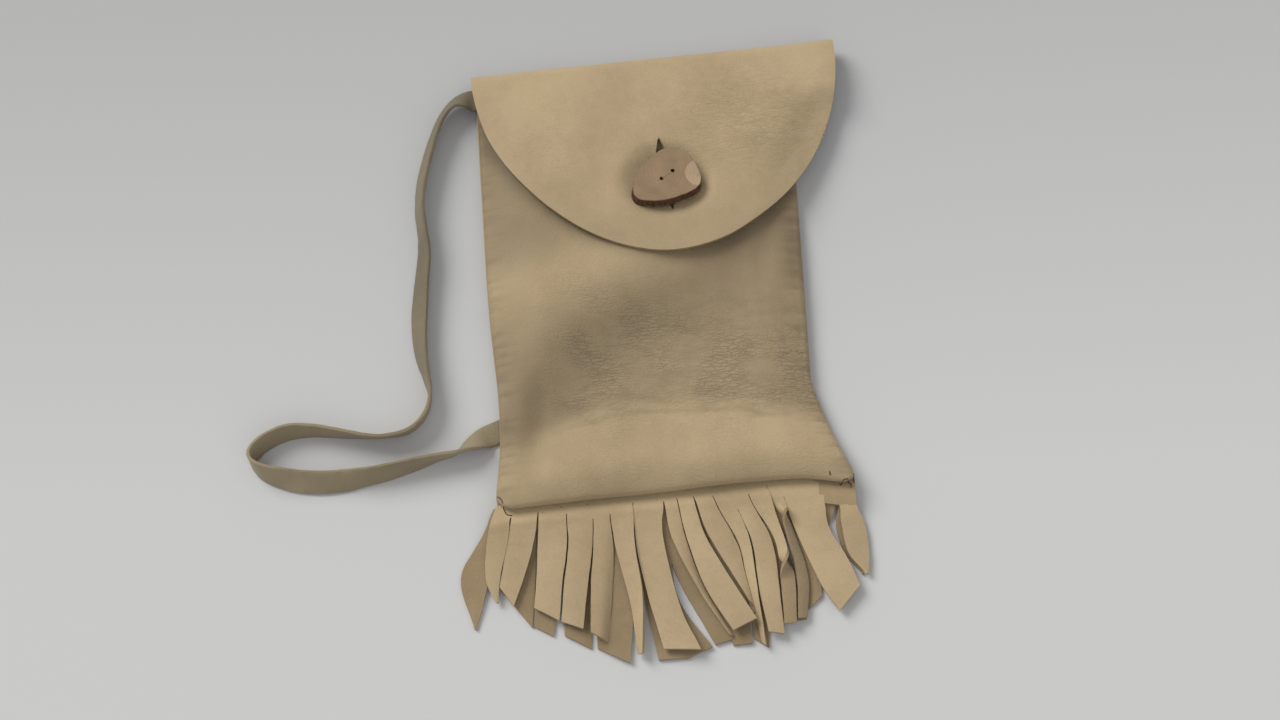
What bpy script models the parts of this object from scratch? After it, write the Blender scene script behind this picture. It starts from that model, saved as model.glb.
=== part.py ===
"""Buckskin pouch with a buttoned flap, a bottom fringe and a thong strap.

Metres, +Z up. The pouch lies on its back, the fold of the flap towards +Y and the fringe
towards -Y. Every leather piece is a sheet along its middle surface, made solid by Solidify.
"""

import math

import bmesh
import bpy
from mathutils import Vector

# Leather
HIDE = 0.0012
THONG = 0.0015
EASE = 0.0003

# Body of the pouch, seen from above
SEAM_Y = -0.0682
SEAM_TILT = math.radians(2.5)
SEAM_BOW = 0.0020
BODY_LENGTH = 0.1974
LEFT_FOOT = -0.0705
LEFT_HEAD = -0.0765
RIGHT_WAIST = 0.0610
FOOT_FLARE = 0.0160
FOOT_FLARE_REACH = 0.0480
FOOT_FLARE_CURVE = 1.2
HEAD_FLARE = 0.0140
HEAD_FLARE_REACH = 0.0500
HEAD_FLARE_CURVE = 1.4
HEAD_FLARE_MOST = 1.3
CORNER_RADIUS = 0.0050
CORNER_CUT = 2 - math.sqrt(2)

# Turned seams: each edge rolls inwards and runs on as a seam allowance
ALLOWANCE = 0.0060
ALLOWANCE_CLEAR_OF_CORNER = 0.0120
ROLL_STEPS = 4

# Filled shape of the front
LOFT = 0.0052
SIDE_EASE_IN = 0.0220
SEAM_EASE_IN = 0.0170
MOUTH_SLACK = 0.0026
MOUTH_SLACK_REACH = 0.0550
SEAM_RISE_FLAT = 0.0080
SEAM_RISE_REACH = 0.0200

# Flap, cut in one with the back
FOLD_WIDTH = 0.1590
FOLD_X = 0.0015
FOLD_TILT = math.radians(4.3)
FOLD_DEPTH = 0.0042
FOLD_STEPS = 6
FLAP_LENGTH = 0.0928
FLAP_POINT = 0.11
FLAP_POINT_CURVE = 2
FLAP_SIDE_ANGLE = math.radians(62)
FLAP_CLEARANCE = 0.0010
FLAP_EASE_OUT = 0.0080
FLAP_DROOP = 0.08

# Button, a slice of wood on a thread shank, in a slit of the flap
BUTTON_THICK = 0.0045
BUTTON_BEVEL = 0.0006
BUTTON_X = 0.0050
BUTTON_DROP = 0.0585
BUTTON_HOLE = 0.0017
BUTTON_STEPS = 3
HOLE_SPACING = 0.0060
HOLE_TURN = math.radians(36)
SLIT_LENGTH = 0.0360
SLIT_WIDTH = 0.0074
SLIT_TAPER = 1.2
SLIT_TURN = math.radians(8)
SLIT_ABOVE_BUTTON = 0.0028
SLIT_STEPS = 10
THREAD = 0.0009
THREAD_TAIL = 0.0022
SHANK_STEPS = 8
THREAD_TURN_STEPS = 4

# The button's outline from its middle, anticlockwise from its left, in millimetres
BUTTON_OUTLINE = (
    (-14.8, -5.2),
    (-14.2, -9.6),
    (-11.0, -11.8),
    (-2.7, -12.3),
    (5.6, -10.2),
    (12.6, -6.6),
    (14.6, -0.8),
    (11.8, 6.4),
    (7.4, 11.8),
    (-0.6, 12.8),
    (-7.6, 8.0),
    (-12.6, 1.6),
)

# Fringe: two strips caught in the bottom seam, slit into strands
SLIT_START = 0.0050
SLIT_GAP = 0.0005
STRAND_STEPS = 3
FALL_REACH = 0.0180
BAND_INSET = 0.0015

# Strap
STRAP_WIDTH = 0.0100
STRAP_EDGE = 0.0006
STRAP_STEPS = 120
ROUTE_STEPS = 16
UPRIGHT_RUN = 0.2
RIDGE_FLAT = 0.0090
RIDGE_END = 0.0210

# Resolution of the leather sheets
COLUMNS = 20
BODY_ROWS = 24
FLAP_ROWS = 12

# The middle of the pouch's box, which becomes the origin
MIDDLE = Vector((-0.0029, 0.0003, 0.0))

ROLL = (HIDE + EASE) / 2
ROLL_REACH = ROLL + HIDE / 2
LAYER = HIDE + EASE

# Strands, left to right, in millimetres: the left and right x of the root at the seam, then
# the left and right edge at the upper third, the lower third and the tip, each as x, y, x, y.
# The outermost strands are leaf-shaped.
FRONT_STRANDS = (
    ((-71.5, -69), (-77.1, -87, -69.3, -86), (-76.5, -103, -71.3, -103.5), (-72.8, -113, -72.1, -113.5)),
    ((-65.7, -54.6), (-67.6, -88, -56.8, -87.5), (-69.7, -99, -60.4, -100.5), (-71.1, -107, -65.7, -115.5)),
    ((-54.6, -43.1), (-55.3, -89.5, -43.6, -91), (-56.2, -104.5, -45.7, -105), (-57.5, -116.5, -47.5, -122.5)),
    ((-43.1, -32.4), (-42.9, -91, -33.3, -91.5), (-44.8, -105, -35.1, -104.5), (-46.6, -123, -38.1, -126.5)),
    ((-32.4, -25.4), (-32.8, -92.5, -24.9, -93.5), (-34.3, -108.5, -24.3, -111), (-35, -128.5, -27.9, -132)),
    ((-25.4, -15.9), (-22.9, -94, -15.5, -93), (-18.1, -117, -13.4, -113.5), (-16.2, -137.5, -14.4, -138.5)),
    ((-15.9, -3.3), (-15, -92, -4.2, -87.5), (-11.4, -113.5, 1.1, -118), (-6.1, -136.5, 8.7, -137.5)),
    ((-3.3, 2.1), (-1.7, -90, 5.5, -91), (7.9, -114, 11.1, -111), (19.6, -131, 21.5, -131.5)),
    ((2.1, 8.9), (6.2, -91.5, 12.9, -88), (11.9, -111, 20.7, -105), (22.2, -130, 31.8, -125.5)),
    ((8.9, 16.9), (14.3, -88, 25.8, -92), (22.6, -104.5, 28.1, -104.5), (30.2, -119, 31.1, -122)),
    ((16.9, 27), (26.9, -92, 31.2, -91), (29.2, -108, 32.9, -110), (34, -134.5, 35.3, -136.5)),
    ((27, 31.5), (32, -92.5, 39.8, -91.5), (33.6, -112, 41.7, -112), (36.3, -131, 42.5, -132)),
    ((31.5, 39.2), (41.5, -91, 44.8, -89), (42.6, -110, 48.2, -109), (42.8, -128, 47.6, -127.5)),
    ((39.2, 46), (45.5, -85.5, 48.7, -85.5), (49.1, -108, 53.4, -107), (48.5, -125.5, 52.2, -125)),
    ((46, 62.7), (49.5, -85.5, 63.7, -87), (58.4, -110.5, 70.1, -100.5), (65.5, -123, 74.5, -112.5)),
    ((67.3, 75.7), (68, -86.5, 78.7, -87), (71, -98.5, 79.2, -98), (77.6, -107, 78.2, -107.5)),
)
BACK_STRANDS = (
    ((-72.3, -69), (-80.2, -83.5, -74.7, -85.5), (-86.9, -101.5, -75.9, -105), (-81.8, -123.5, -81.1, -124)),
    ((-65.7, -55.7), (-67, -87, -56.1, -88.5), (-69.9, -101, -56.8, -103.5), (-70.7, -107.5, -58.5, -124)),
    ((-55.7, -45.3), (-55.8, -88.5, -45.1, -89), (-56.4, -103.5, -46.2, -104.5), (-57.9, -123.5, -50.2, -128)),
    ((-45.3, -33.9), (-44.5, -89, -32.8, -89.5), (-45.4, -104, -33.4, -105.5), (-45.5, -128, -35.2, -134)),
    ((-33.9, -21.9), (-32.2, -90.5, -21.2, -93), (-32.7, -107.5, -17.4, -112.5), (-32.5, -134, -19.7, -141)),
    ((-20.7, -3.2), (-16.2, -91.5, -3.9, -90.5), (-12.7, -114, 0.6, -115.5), (-8.3, -140, 4.3, -139.5)),
    ((-3.2, 7.6), (-2.9, -89, 4.7, -90.5), (2.6, -107.5, 9.1, -108), (5, -137.5, 13.3, -133)),
    ((7.6, 18.2), (5.3, -90.5, 14.3, -90.5), (9.9, -108.5, 17.9, -108), (14.2, -135.5, 21.3, -132.5)),
    ((18.2, 28.8), (14.9, -90.5, 24.7, -91), (18.6, -108.5, 27.9, -109), (22, -135, 29.8, -134.5)),
    ((28.8, 39.6), (25.3, -91, 34.3, -91.5), (28.8, -109, 37.4, -109.5), (30.7, -132.5, 36.4, -136.5)),
    ((39.6, 51.1), (36.5, -90.5, 45.9, -91), (39.6, -109, 50.2, -109.5), (43.3, -126.5, 52.3, -125)),
    ((51.1, 63.5), (47.4, -87.5, 56.1, -84.5), (52, -106, 59.2, -102), (53.4, -121, 58.9, -115.5)),
    ((67.9, 75.7), (66.9, -85.5, 77.4, -86), (69.9, -97.5, 77.8, -98), (75.9, -106, 76.5, -107)),
)

# Strap route: x, y and the height of its lowest edge in millimetres, then its lean in
# degrees, 0 lying flat, 90 standing on edge and 180 flat again with its other side up. From
# the left seam round the loop, half turned over, under the pouch and back over itself into
# the right seam.
LEFT_TAIL = (
    (-62.0, 118.4, 3.0, 0),
    (-70.0, 118.6, 3.0, 0),
    (-76.8, 119.2, 3.0, 0),
    (-78.6, 119.3, 2.8, 6),
    (-82.4, 118.6, 2.2, 32),
    (-86.8, 116.2, 1.4, 54),
    (-91.4, 109.8, 0.8, 64),
)
LOOSE_LOOP = (
    (-94.8, 101.0, 0.5, 66),
    (-97.6, 91.0, 0.4, 64),
    (-100.2, 79.0, 0.4, 65),
    (-101.2, 66.0, 0.4, 70),
    (-100.0, 54.0, 0.4, 69),
    (-99.6, 44.0, 0.4, 58),
    (-100.8, 31.0, 0.4, 52),
    (-101.8, 18.0, 0.4, 48),
    (-102.0, 7.0, 0.4, 53),
    (-101.2, -3.0, 0.2, 64),
    (-99.4, -12.0, 0.0, 79),
    (-98.0, -21.0, 0.0, 86),
    (-100.4, -30.0, 0.0, 82),
    (-107.1, -36.8, 0.0, 76),
    (-116.9, -38.8, 0.0, 70),
    (-125.0, -38.5, 0.0, 74),
    (-133.7, -37.1, 0.0, 83),
    (-146.6, -35.1, 0.0, 95),
    (-157.0, -35.4, 0.0, 105),
    (-165.6, -39.0, 0.0, 107),
    (-170.6, -43.4, 0.0, 108),
    (-172.2, -47.2, 0.0, 96),
    (-170.0, -50.6, 0.0, 86),
    (-164.6, -54.0, 0.0, 68),
    (-154.0, -56.9, 0.0, 48),
    (-144.0, -58.0, 0.0, 44),
    (-134.0, -57.8, 0.0, 51),
    (-124.0, -56.5, 0.0, 66),
    (-114.5, -54.6, 0.0, 73),
    (-104.0, -51.8, 0.0, 84),
    (-95.1, -49.3, 0.0, 98),
    (-88.6, -47.9, 0.0, 106),
    (-84.8, -46.2, 0.0, 118),
    (-81.6, -43.9, 0.0, 138),
)
HIDDEN_RUN = (
    (-77.8, -41.4, 0.0, 160),
    (-74.8, -39.6, 0.0, 180),
    (-73.2, -38.8, 0.0, 180),
    (-68.0, -36.4, 0.0, 180),
    (-56.0, -30.6, 0.0, 180),
    (-40.0, -19.6, 0.0, 180),
    (-18.0, 1.6, 0.0, 180),
    (5.0, 31.0, 0.0, 180),
    (26.0, 64.0, 0.0, 180),
    (42.0, 94.0, 0.0, 180),
    (53.0, 114.0, 0.0, 180),
    (64.0, 124.0, 0.0, 180),
    (74.0, 126.4, 0.0, 180),
)
RIGHT_TURN = (
    (77.6, 126.5, 0.0, 180),
    (79.6, 126.5, 1.4, 180),
    (79.9, 126.5, 2.9, 180),
    (78.4, 126.5, 4.3, 180),
    (75.0, 126.5, 4.8, 180),
    (68.0, 126.5, 4.8, 180),
    (61.0, 126.5, 4.8, 180),
)
STRAP_ROUTE = LEFT_TAIL + LOOSE_LOOP + HIDDEN_RUN + RIGHT_TURN

MM = 0.001

COLOURS = {
    "buckskin": (0.46, 0.35, 0.21),
    "buckskin_flesh": (0.38, 0.29, 0.19),
    "thong": (0.30, 0.25, 0.17),
    "wood": (0.40, 0.27, 0.17),
    "thread": (0.16, 0.07, 0.05),
}


def smooth(share):
    """0 to 1 with a soft start and a soft end."""
    share = min(max(share, 0.0), 1.0)
    return share * share * (3 - 2 * share)


def mix(a, b, share):
    return a + (b - a) * share


def seam_y(x):
    """The bottom seam: a tilted line with a slight bow."""
    half = (RIGHT_WAIST + FOOT_FLARE - LEFT_FOOT) / 2
    middle = (RIGHT_WAIST + FOOT_FLARE + LEFT_FOOT) / 2
    return SEAM_Y + x * math.tan(SEAM_TILT) - SEAM_BOW * ((x - middle) / half) ** 2


def mouth_y(x):
    """The mouth edge of the front, parallel to the fold."""
    return SEAM_Y + BODY_LENGTH + (x - FOLD_X) * math.tan(FOLD_TILT)


def fold_start_y(x):
    """Where the back starts to turn over into the flap."""
    return mouth_y(x) + LAYER


def left_x(y):
    """The left edge of the body."""
    return mix(LEFT_FOOT, LEFT_HEAD, (y - SEAM_Y) / BODY_LENGTH)


def right_x(y):
    """The right edge of the body, which flares to both of its corners."""
    from_foot = 1 - (y - SEAM_Y) / FOOT_FLARE_REACH
    from_head = 1 - (SEAM_Y + BODY_LENGTH - y) / HEAD_FLARE_REACH
    foot = FOOT_FLARE * max(from_foot, 0.0) ** FOOT_FLARE_CURVE
    head = HEAD_FLARE * max(from_head, 0.0) ** HEAD_FLARE_CURVE
    return RIGHT_WAIST + min(foot, FOOT_FLARE) + min(head, HEAD_FLARE_MOST * HEAD_FLARE)


def rounding(distance):
    """How far an edge draws in near a round corner, by its distance from the corner."""
    left = max(CORNER_RADIUS - distance, 0.0)
    return CORNER_CUT * left * left / (2 * CORNER_RADIUS)


def route_distance(x, y, route):
    """Distance in plan from a point to a stretch of the strap's route."""
    spot = Vector((x, y))
    best = math.inf
    for a, b in zip(route, route[1:]):
        start = Vector(a[:2]) * MM
        along = Vector(b[:2]) * MM - start
        share = (spot - start).dot(along) / max(along.length_squared, 1e-12)
        nearest = start + along * min(max(share, 0.0), 1.0)
        best = min(best, (spot - nearest).length)
    return best


def ridge(x, y, route):
    """How far the leather over a stretch of the strap is lifted by it."""
    reach = (route_distance(x, y, route) - RIDGE_FLAT) / (RIDGE_END - RIDGE_FLAT)
    return (THONG + EASE) * (1 - smooth(reach))


def back_z(x, y):
    """Middle surface of the back, which bends over the strap beneath it."""
    return HIDE / 2 + ridge(x, y, LOOSE_LOOP[-1:] + HIDDEN_RUN + RIGHT_TURN[:1])


def rim_z(x, y, inside=0.0):
    """Middle surface of the front at a seam: four layers, more over the fringe and strap.

    inside is 1 well within the seams, where the filling takes up what the strap lifts.
    """
    caught = ridge(x, y, LEFT_TAIL[:3]) + ridge(x, y, RIGHT_TURN[4:])
    lifted = (back_z(x, y) - HIDE / 2 + caught) * (1 - inside)
    from_seam = (y - seam_y(x) - SEAM_RISE_FLAT) / SEAM_RISE_REACH
    return HIDE / 2 + 3 * LAYER + lifted + 2 * LAYER * (1 - smooth(from_seam))


def front_z(x, y, ease_out=0.0):
    """Middle surface of the front, filled out between its seams.

    ease_out is how far past its sides the filled shape only starts, for what lies over it.
    """
    from_left = smooth((x - left_x(y) + ease_out) / (SIDE_EASE_IN + ease_out))
    from_right = smooth((right_x(y) - x + ease_out) / (SIDE_EASE_IN + ease_out))
    from_seam = smooth((y - seam_y(x)) / SEAM_EASE_IN)
    from_mouth = smooth((mouth_y(x) - y) / MOUTH_SLACK_REACH)
    fill = mix(LOFT - MOUTH_SLACK, LOFT, from_mouth)
    inside = from_left * from_right
    return rim_z(x, y, inside) + fill * inside * from_seam


def flap_z(x, y):
    """Middle surface of the flap: on the front, and drooping past its sides."""
    past = max(left_x(y) - x, x - right_x(y), 0.0)
    return front_z(x, y, FLAP_EASE_OUT) + HIDE + FLAP_CLEARANCE - FLAP_DROOP * past


def patch(left, right, low, high, u, v):
    """A point of the surface stretched between four edge curves."""
    sides = mix(left(v), right(v), u)
    ends = mix(low(u), high(u), v)
    corners = mix(mix(left(0), right(0), u), mix(left(1), right(1), u), v)
    return sides + ends - corners


def body_point(u, v, top_y):
    """A point of a body panel in plan, inside its rolled edges. v is 1 at top_y."""
    foot_left = LEFT_FOOT + ROLL_REACH
    foot_right = RIGHT_WAIST + FOOT_FLARE - ROLL_REACH

    def side(edge, inward, v):
        x = edge(SEAM_Y)
        low = seam_y(x) + ROLL_REACH
        y = mix(low, top_y(edge(SEAM_Y + BODY_LENGTH)), v)
        drawn = rounding(y - low)
        return Vector((edge(y) + inward * (ROLL_REACH + drawn), y + (drawn if v == 0 else 0)))

    def foot(u):
        x = mix(foot_left, foot_right, u)
        drawn = rounding(min(x - foot_left, foot_right - x))
        shift = drawn if u == 0 else (-drawn if u == 1 else 0)
        return Vector((x + shift, seam_y(x) + ROLL_REACH + drawn))

    def mouth(u):
        start, end = side(left_x, 1, 1), side(right_x, -1, 1)
        x = mix(start.x, end.x, u)
        return Vector((x, top_y(x)))

    return patch(lambda t: side(left_x, 1, t), lambda t: side(right_x, -1, t), foot, mouth, u, v)


def fold_point(u):
    """A point along the fold, from its left end to its right end."""
    along = (u - 0.5) * FOLD_WIDTH
    x = FOLD_X + along * math.cos(FOLD_TILT)
    return Vector((x, fold_start_y(x)))


def flap_edge(angle):
    """The flap's outline, a pointed half ellipse hung from the fold. 0 is its tip."""
    down = math.cos(angle)
    across = math.sin(angle) * (1 - FLAP_POINT * down**FLAP_POINT_CURVE)
    lean = Vector((math.cos(FOLD_TILT), math.sin(FOLD_TILT)))
    drop = Vector((lean.y, -lean.x))
    middle = fold_point(0.5)
    return middle + lean * across * FOLD_WIDTH / 2 + drop * down * FLAP_LENGTH


def flap_point(u, v):
    """A point of the flap in plan. v is 0 at the fold."""
    quarter = math.pi / 2

    def side(sign, v):
        return flap_edge(sign * mix(quarter, FLAP_SIDE_ANGLE, v))

    def foot(u):
        return flap_edge(mix(-FLAP_SIDE_ANGLE, FLAP_SIDE_ANGLE, u))

    return patch(lambda t: side(-1, t), lambda t: side(1, t), fold_point, foot, u, v)


def material(name):
    """A plain finish in the piece's colour."""
    finish = bpy.data.materials.get(name)
    if finish is None:
        finish = bpy.data.materials.new(name)
        finish.use_nodes = True
        shader = finish.node_tree.nodes["Principled BSDF"]
        shader.inputs["Base Color"].default_value = (*COLOURS[name], 1)
        shader.inputs["Roughness"].default_value = 0.85
        shader.inputs["Metallic"].default_value = 0.0
    return finish


def collection(name):
    """A collection of this name, linked to the scene."""
    made = bpy.data.collections.get(name)
    if made is None:
        made = bpy.data.collections.new(name)
        bpy.context.scene.collection.children.link(made)
    return made


def object_from(bm, name, finish, group="medicine_pouch"):
    """An object from a bmesh, moved so that the pouch's middle is the origin."""
    bmesh.ops.translate(bm, verts=bm.verts, vec=-MIDDLE)
    mesh = bpy.data.meshes.new(name)
    bm.to_mesh(mesh)
    bm.free()
    mesh.materials.append(material(finish))
    made = bpy.data.objects.new(name, mesh)
    collection(group).objects.link(made)
    return made


def thicken(piece, thickness):
    """Leather of one thickness on both sides of the sheet."""
    solid = piece.modifiers.new("hide", "SOLIDIFY")
    solid.thickness = thickness
    solid.offset = 0
    solid.use_even_offset = True


def grid_sheet(columns, rows):
    """A bmesh grid, and its vertices by column and row."""
    bm = bmesh.new()
    bmesh.ops.create_grid(bm, x_segments=columns, y_segments=rows, size=1)
    at = {}
    for vert in bm.verts:
        column = round((vert.co.x + 1) / 2 * columns)
        row = round((vert.co.y + 1) / 2 * rows)
        at[column, row] = vert
    return bm, at


def extrude_chain(bm, chain):
    """Extrudes the edges along a chain of vertices and gives the new chain."""
    edges = [bm.edges.get(pair) for pair in zip(chain, chain[1:])]
    made = bmesh.ops.extrude_edge_only(bm, edges=edges)["geom"]
    fresh = {item for item in made if isinstance(item, bmesh.types.BMVert)}
    follow = []
    for vert in chain:
        ends = [edge.other_vert(vert) for edge in vert.link_edges]
        follow.append(next(end for end in ends if end in fresh))
    return follow


def outward(chain):
    """Level directions away from the panel at each vertex of its edge chain."""
    ways = []
    for place in range(len(chain)):
        before = chain[max(place - 1, 0)].co
        after = chain[min(place + 1, len(chain) - 1)].co
        along = after - before
        ways.append(Vector((along.y, -along.x, 0)).normalized())
    return ways


def roll_edges(bm, at, columns, rows, turn):
    """Rolls the sides and foot of a panel under it (turn -1) or over it (turn 1).

    The straight stretches then run on inwards as seam allowances.
    """
    down = [at[0, row] for row in range(rows, 0, -1)]
    across = [at[column, 0] for column in range(columns + 1)]
    up = [at[columns, row] for row in range(1, rows + 1)]
    chain = down + across + up
    ways = outward(chain)
    starts = [vert.co.copy() for vert in chain]
    for step in range(1, ROLL_STEPS + 1):
        angle = math.pi * step / ROLL_STEPS
        chain = extrude_chain(bm, chain)
        for vert, start, way in zip(chain, starts, ways):
            rise = turn * ROLL * (1 - math.cos(angle))
            vert.co = start + way * ROLL * math.sin(angle) + Vector((0, 0, rise))
    corners = starts[len(down)], starts[len(down) + columns]
    stretches = [[], [], []]
    for place, (vert, start, way) in enumerate(zip(chain, starts, ways)):
        if min((start - corner).length for corner in corners) < ALLOWANCE_CLEAR_OF_CORNER:
            continue
        side = 0 if place < len(down) else (1 if place <= len(down) + columns else 2)
        stretches[side].append((vert, way))
    for stretch in stretches:
        inner = extrude_chain(bm, [vert for vert, way in stretch])
        for vert, (root, way) in zip(inner, stretch):
            vert.co = root.co - way * ALLOWANCE
            level = back_z(vert.co.x, vert.co.y) - back_z(root.co.x, root.co.y)
            vert.co.z = root.co.z + level


def front_panel():
    """The front, open at its mouth, with its three seamed edges rolled under."""
    bm, at = grid_sheet(COLUMNS, BODY_ROWS)
    for (column, row), vert in at.items():
        spot = body_point(column / COLUMNS, row / BODY_ROWS, mouth_y)
        vert.co = Vector((spot.x, spot.y, front_z(spot.x, spot.y)))
        if column in (0, COLUMNS) or row == 0:
            vert.co.z = rim_z(spot.x, spot.y)
    roll_edges(bm, at, COLUMNS, BODY_ROWS, -1)
    bmesh.ops.recalc_face_normals(bm, faces=bm.faces)
    panel = object_from(bm, "front_panel", "buckskin")
    thicken(panel, HIDE)
    for spot in hole_spots():
        top = front_z(spot.x, spot.y)
        cut(panel, round_cutter("panel_hole_cutter", spot, top - LAYER, top + LAYER))
    return panel


def back_and_flap():
    """The back, folded over at the top into the flap: one piece of leather."""
    rows = BODY_ROWS + FOLD_STEPS + FLAP_ROWS
    bm, at = grid_sheet(COLUMNS, rows)
    for (column, row), vert in at.items():
        u = column / COLUMNS
        if row < BODY_ROWS:
            spot = body_point(u, row / (BODY_ROWS - 1), mouth_y)
            vert.co = Vector((spot.x, spot.y, back_z(spot.x, spot.y)))
            continue
        if row <= BODY_ROWS + FOLD_STEPS:
            spot = fold_point(u)
            angle = math.pi * (row - BODY_ROWS) / FOLD_STEPS
            low, high = back_z(spot.x, spot.y), flap_z(spot.x, spot.y)
            z = mix(low, high, (1 - math.cos(angle)) / 2)
            vert.co = Vector((spot.x, spot.y + FOLD_DEPTH * math.sin(angle), z))
            continue
        spot = flap_point(u, (row - BODY_ROWS - FOLD_STEPS) / FLAP_ROWS)
        vert.co = Vector((spot.x, spot.y, flap_z(spot.x, spot.y)))
    roll_edges(bm, at, COLUMNS, BODY_ROWS - 1, 1)
    bmesh.ops.recalc_face_normals(bm, faces=bm.faces)
    piece = object_from(bm, "back_and_flap", "buckskin")
    thicken(piece, HIDE)
    cut(piece, slit_cutter())
    return piece


def between(a, b, c, d, share):
    """A point of the smooth curve from b to c whose neighbours are a and d."""
    rise = (c - a) * share
    bend = (a * 2 - b * 5 + c * 4 - d) * share**2
    turn = (b * 3 - a - c * 3 + d) * share**3
    return b + (rise + bend + turn) / 2


def smooth_curve(points, steps):
    """Points of a smooth curve through these, with so many steps to each stretch."""
    padded = [points[0] * 2 - points[1], *points, points[-1] * 2 - points[-2]]
    spots = []
    for four in zip(padded, padded[1:], padded[2:], padded[3:]):
        spots += [between(*four, step / steps) for step in range(steps)]
    return spots + [points[-1]]


def strand_edges(strand, root_y):
    """The left and right edge of a strand, from its root to its tip."""
    root, *lower = strand
    gap = SLIT_GAP / 2
    edges = []
    for side, parted in ((0, gap), (1, -gap)):
        x = root[side] * MM + parted
        spots = [Vector(pair[2 * side : 2 * side + 2]) * MM for pair in lower]
        edges.append(smooth_curve([Vector((x, root_y(x))), *spots], STRAND_STEPS))
    return edges


def fringe(name, strands, layer, finish):
    """A strip caught in the bottom seam, with its strands lying down to the table.

    layer is 0 for the back strip, which lies on the table, and 1 for the front one.
    """

    def strip_z(x, y):
        past = (seam_y(x) - y) / FALL_REACH
        return HIDE / 2 + layer * LAYER + 2 * LAYER * (1 - smooth(past))

    def root_y(x):
        return seam_y(x) - SLIT_START

    def placed(spot):
        return Vector((spot.x, spot.y, strip_z(spot.x, spot.y)))

    edges = [strand_edges(strand, root_y) for strand in strands]
    marks = [side[0] for pair in edges for side in pair]
    bm = bmesh.new()
    low = [bm.verts.new(placed(mark)) for mark in marks]
    for pair in zip(low, low[1:]):
        bm.edges.new(pair)
    chain = low
    inner_left, inner_right = LEFT_FOOT + BAND_INSET, RIGHT_WAIST + FOOT_FLARE - BAND_INSET
    for rise in (SLIT_START / 2, SLIT_START, SLIT_START + ALLOWANCE):
        chain = extrude_chain(bm, chain)
        for vert, mark in zip(chain, marks):
            drawn_in = min(max(mark.x, inner_left), inner_right)
            x = mix(mark.x, drawn_in, min(rise / SLIT_START, 1))
            vert.co = placed(Vector((x, root_y(x) + rise)))
    for place, (left, right) in enumerate(edges):
        pair = [low[2 * place], low[2 * place + 1]]
        for left_spot, right_spot in zip(left[1:], right[1:]):
            pair = extrude_chain(bm, pair)
            pair[0].co = placed(left_spot)
            pair[1].co = placed(right_spot)
    bmesh.ops.recalc_face_normals(bm, faces=bm.faces)
    piece = object_from(bm, name, finish)
    thicken(piece, HIDE)
    return piece


def smooth_route(points, steps):
    """Evenly spaced samples of a smooth curve through the route's points."""
    fine = smooth_curve([Vector(point) for point in points], ROUTE_STEPS)
    run = [0.0]
    for a, b in zip(fine, fine[1:]):
        run.append(run[-1] + (b.xyz - a.xyz).length)
    samples, place = [], 0
    for step in range(steps + 1):
        want = run[-1] * step / steps
        while place < len(run) - 2 and run[place + 1] < want:
            place += 1
        span = run[place + 1] - run[place]
        samples.append(fine[place].lerp(fine[place + 1], (want - run[place]) / span))
    return samples


def strap():
    """The thong strap: a flat section with soft edges, carried along its route."""
    samples = smooth_route(STRAP_ROUTE, STRAP_STEPS)
    half_width, half_thick = STRAP_WIDTH / 2, THONG / 2
    flat = half_width - STRAP_EDGE
    section = (
        (-half_width, 0.0),
        (-flat, -half_thick),
        (flat, -half_thick),
        (half_width, 0.0),
        (flat, half_thick),
        (-flat, half_thick),
    )
    bm = bmesh.new()
    side = Vector((0, -1, 0))
    ring = None
    for place, sample in enumerate(samples):
        before = samples[max(place - 1, 0)].xyz
        after = samples[min(place + 1, len(samples) - 1)].xyz
        along = (after - before).normalized()
        level = Vector((0, 0, 1)).cross(along)
        if level.length > UPRIGHT_RUN:
            level.normalize()
            side = level if level.dot(side) > 0 else -level
        upright = side.cross(along)
        if upright.z < -UPRIGHT_RUN:
            upright = -upright
        lean = math.radians(sample.w)
        wide = (side * math.cos(lean) + upright.normalized() * math.sin(lean)).normalized()
        thick = along.cross(wide)
        spot = sample.xyz * MM
        spot.z += half_width * abs(math.sin(lean)) + half_thick * abs(math.cos(lean))
        corners = [spot + wide * across + thick * deep for across, deep in section]
        if ring is None:
            ring = [bm.verts.new(corner) for corner in corners]
            bm.faces.new(ring)
            closed = ring + ring[:1]
            continue
        edges = [bm.edges.get(pair) for pair in zip(closed, closed[1:])]
        made = bmesh.ops.extrude_edge_only(bm, edges=edges)["geom"]
        fresh = {item for item in made if isinstance(item, bmesh.types.BMVert)}
        follow = []
        for vert, corner in zip(ring, corners):
            ends = [edge.other_vert(vert) for edge in vert.link_edges]
            end = next(end for end in ends if end in fresh)
            end.co = corner
            follow.append(end)
        ring = follow
        closed = ring + ring[:1]
    bm.faces.new(reversed(ring))
    bmesh.ops.recalc_face_normals(bm, faces=bm.faces)
    return object_from(bm, "strap", "thong")


def button_middle():
    """The middle of the button's underside, just clear of the flap."""
    y = fold_start_y(BUTTON_X) - BUTTON_DROP
    rests = [flap_z(BUTTON_X + across * MM, y + up * MM) for across, up in BUTTON_OUTLINE]
    return Vector((BUTTON_X, y, max(*rests, flap_z(BUTTON_X, y)) + HIDE / 2 + EASE))


def hole_spots():
    """The two thread holes, in plan."""
    middle = button_middle().xy
    half = Vector((math.cos(HOLE_TURN), math.sin(HOLE_TURN))) * HOLE_SPACING / 2
    return middle - half, middle + half


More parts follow.
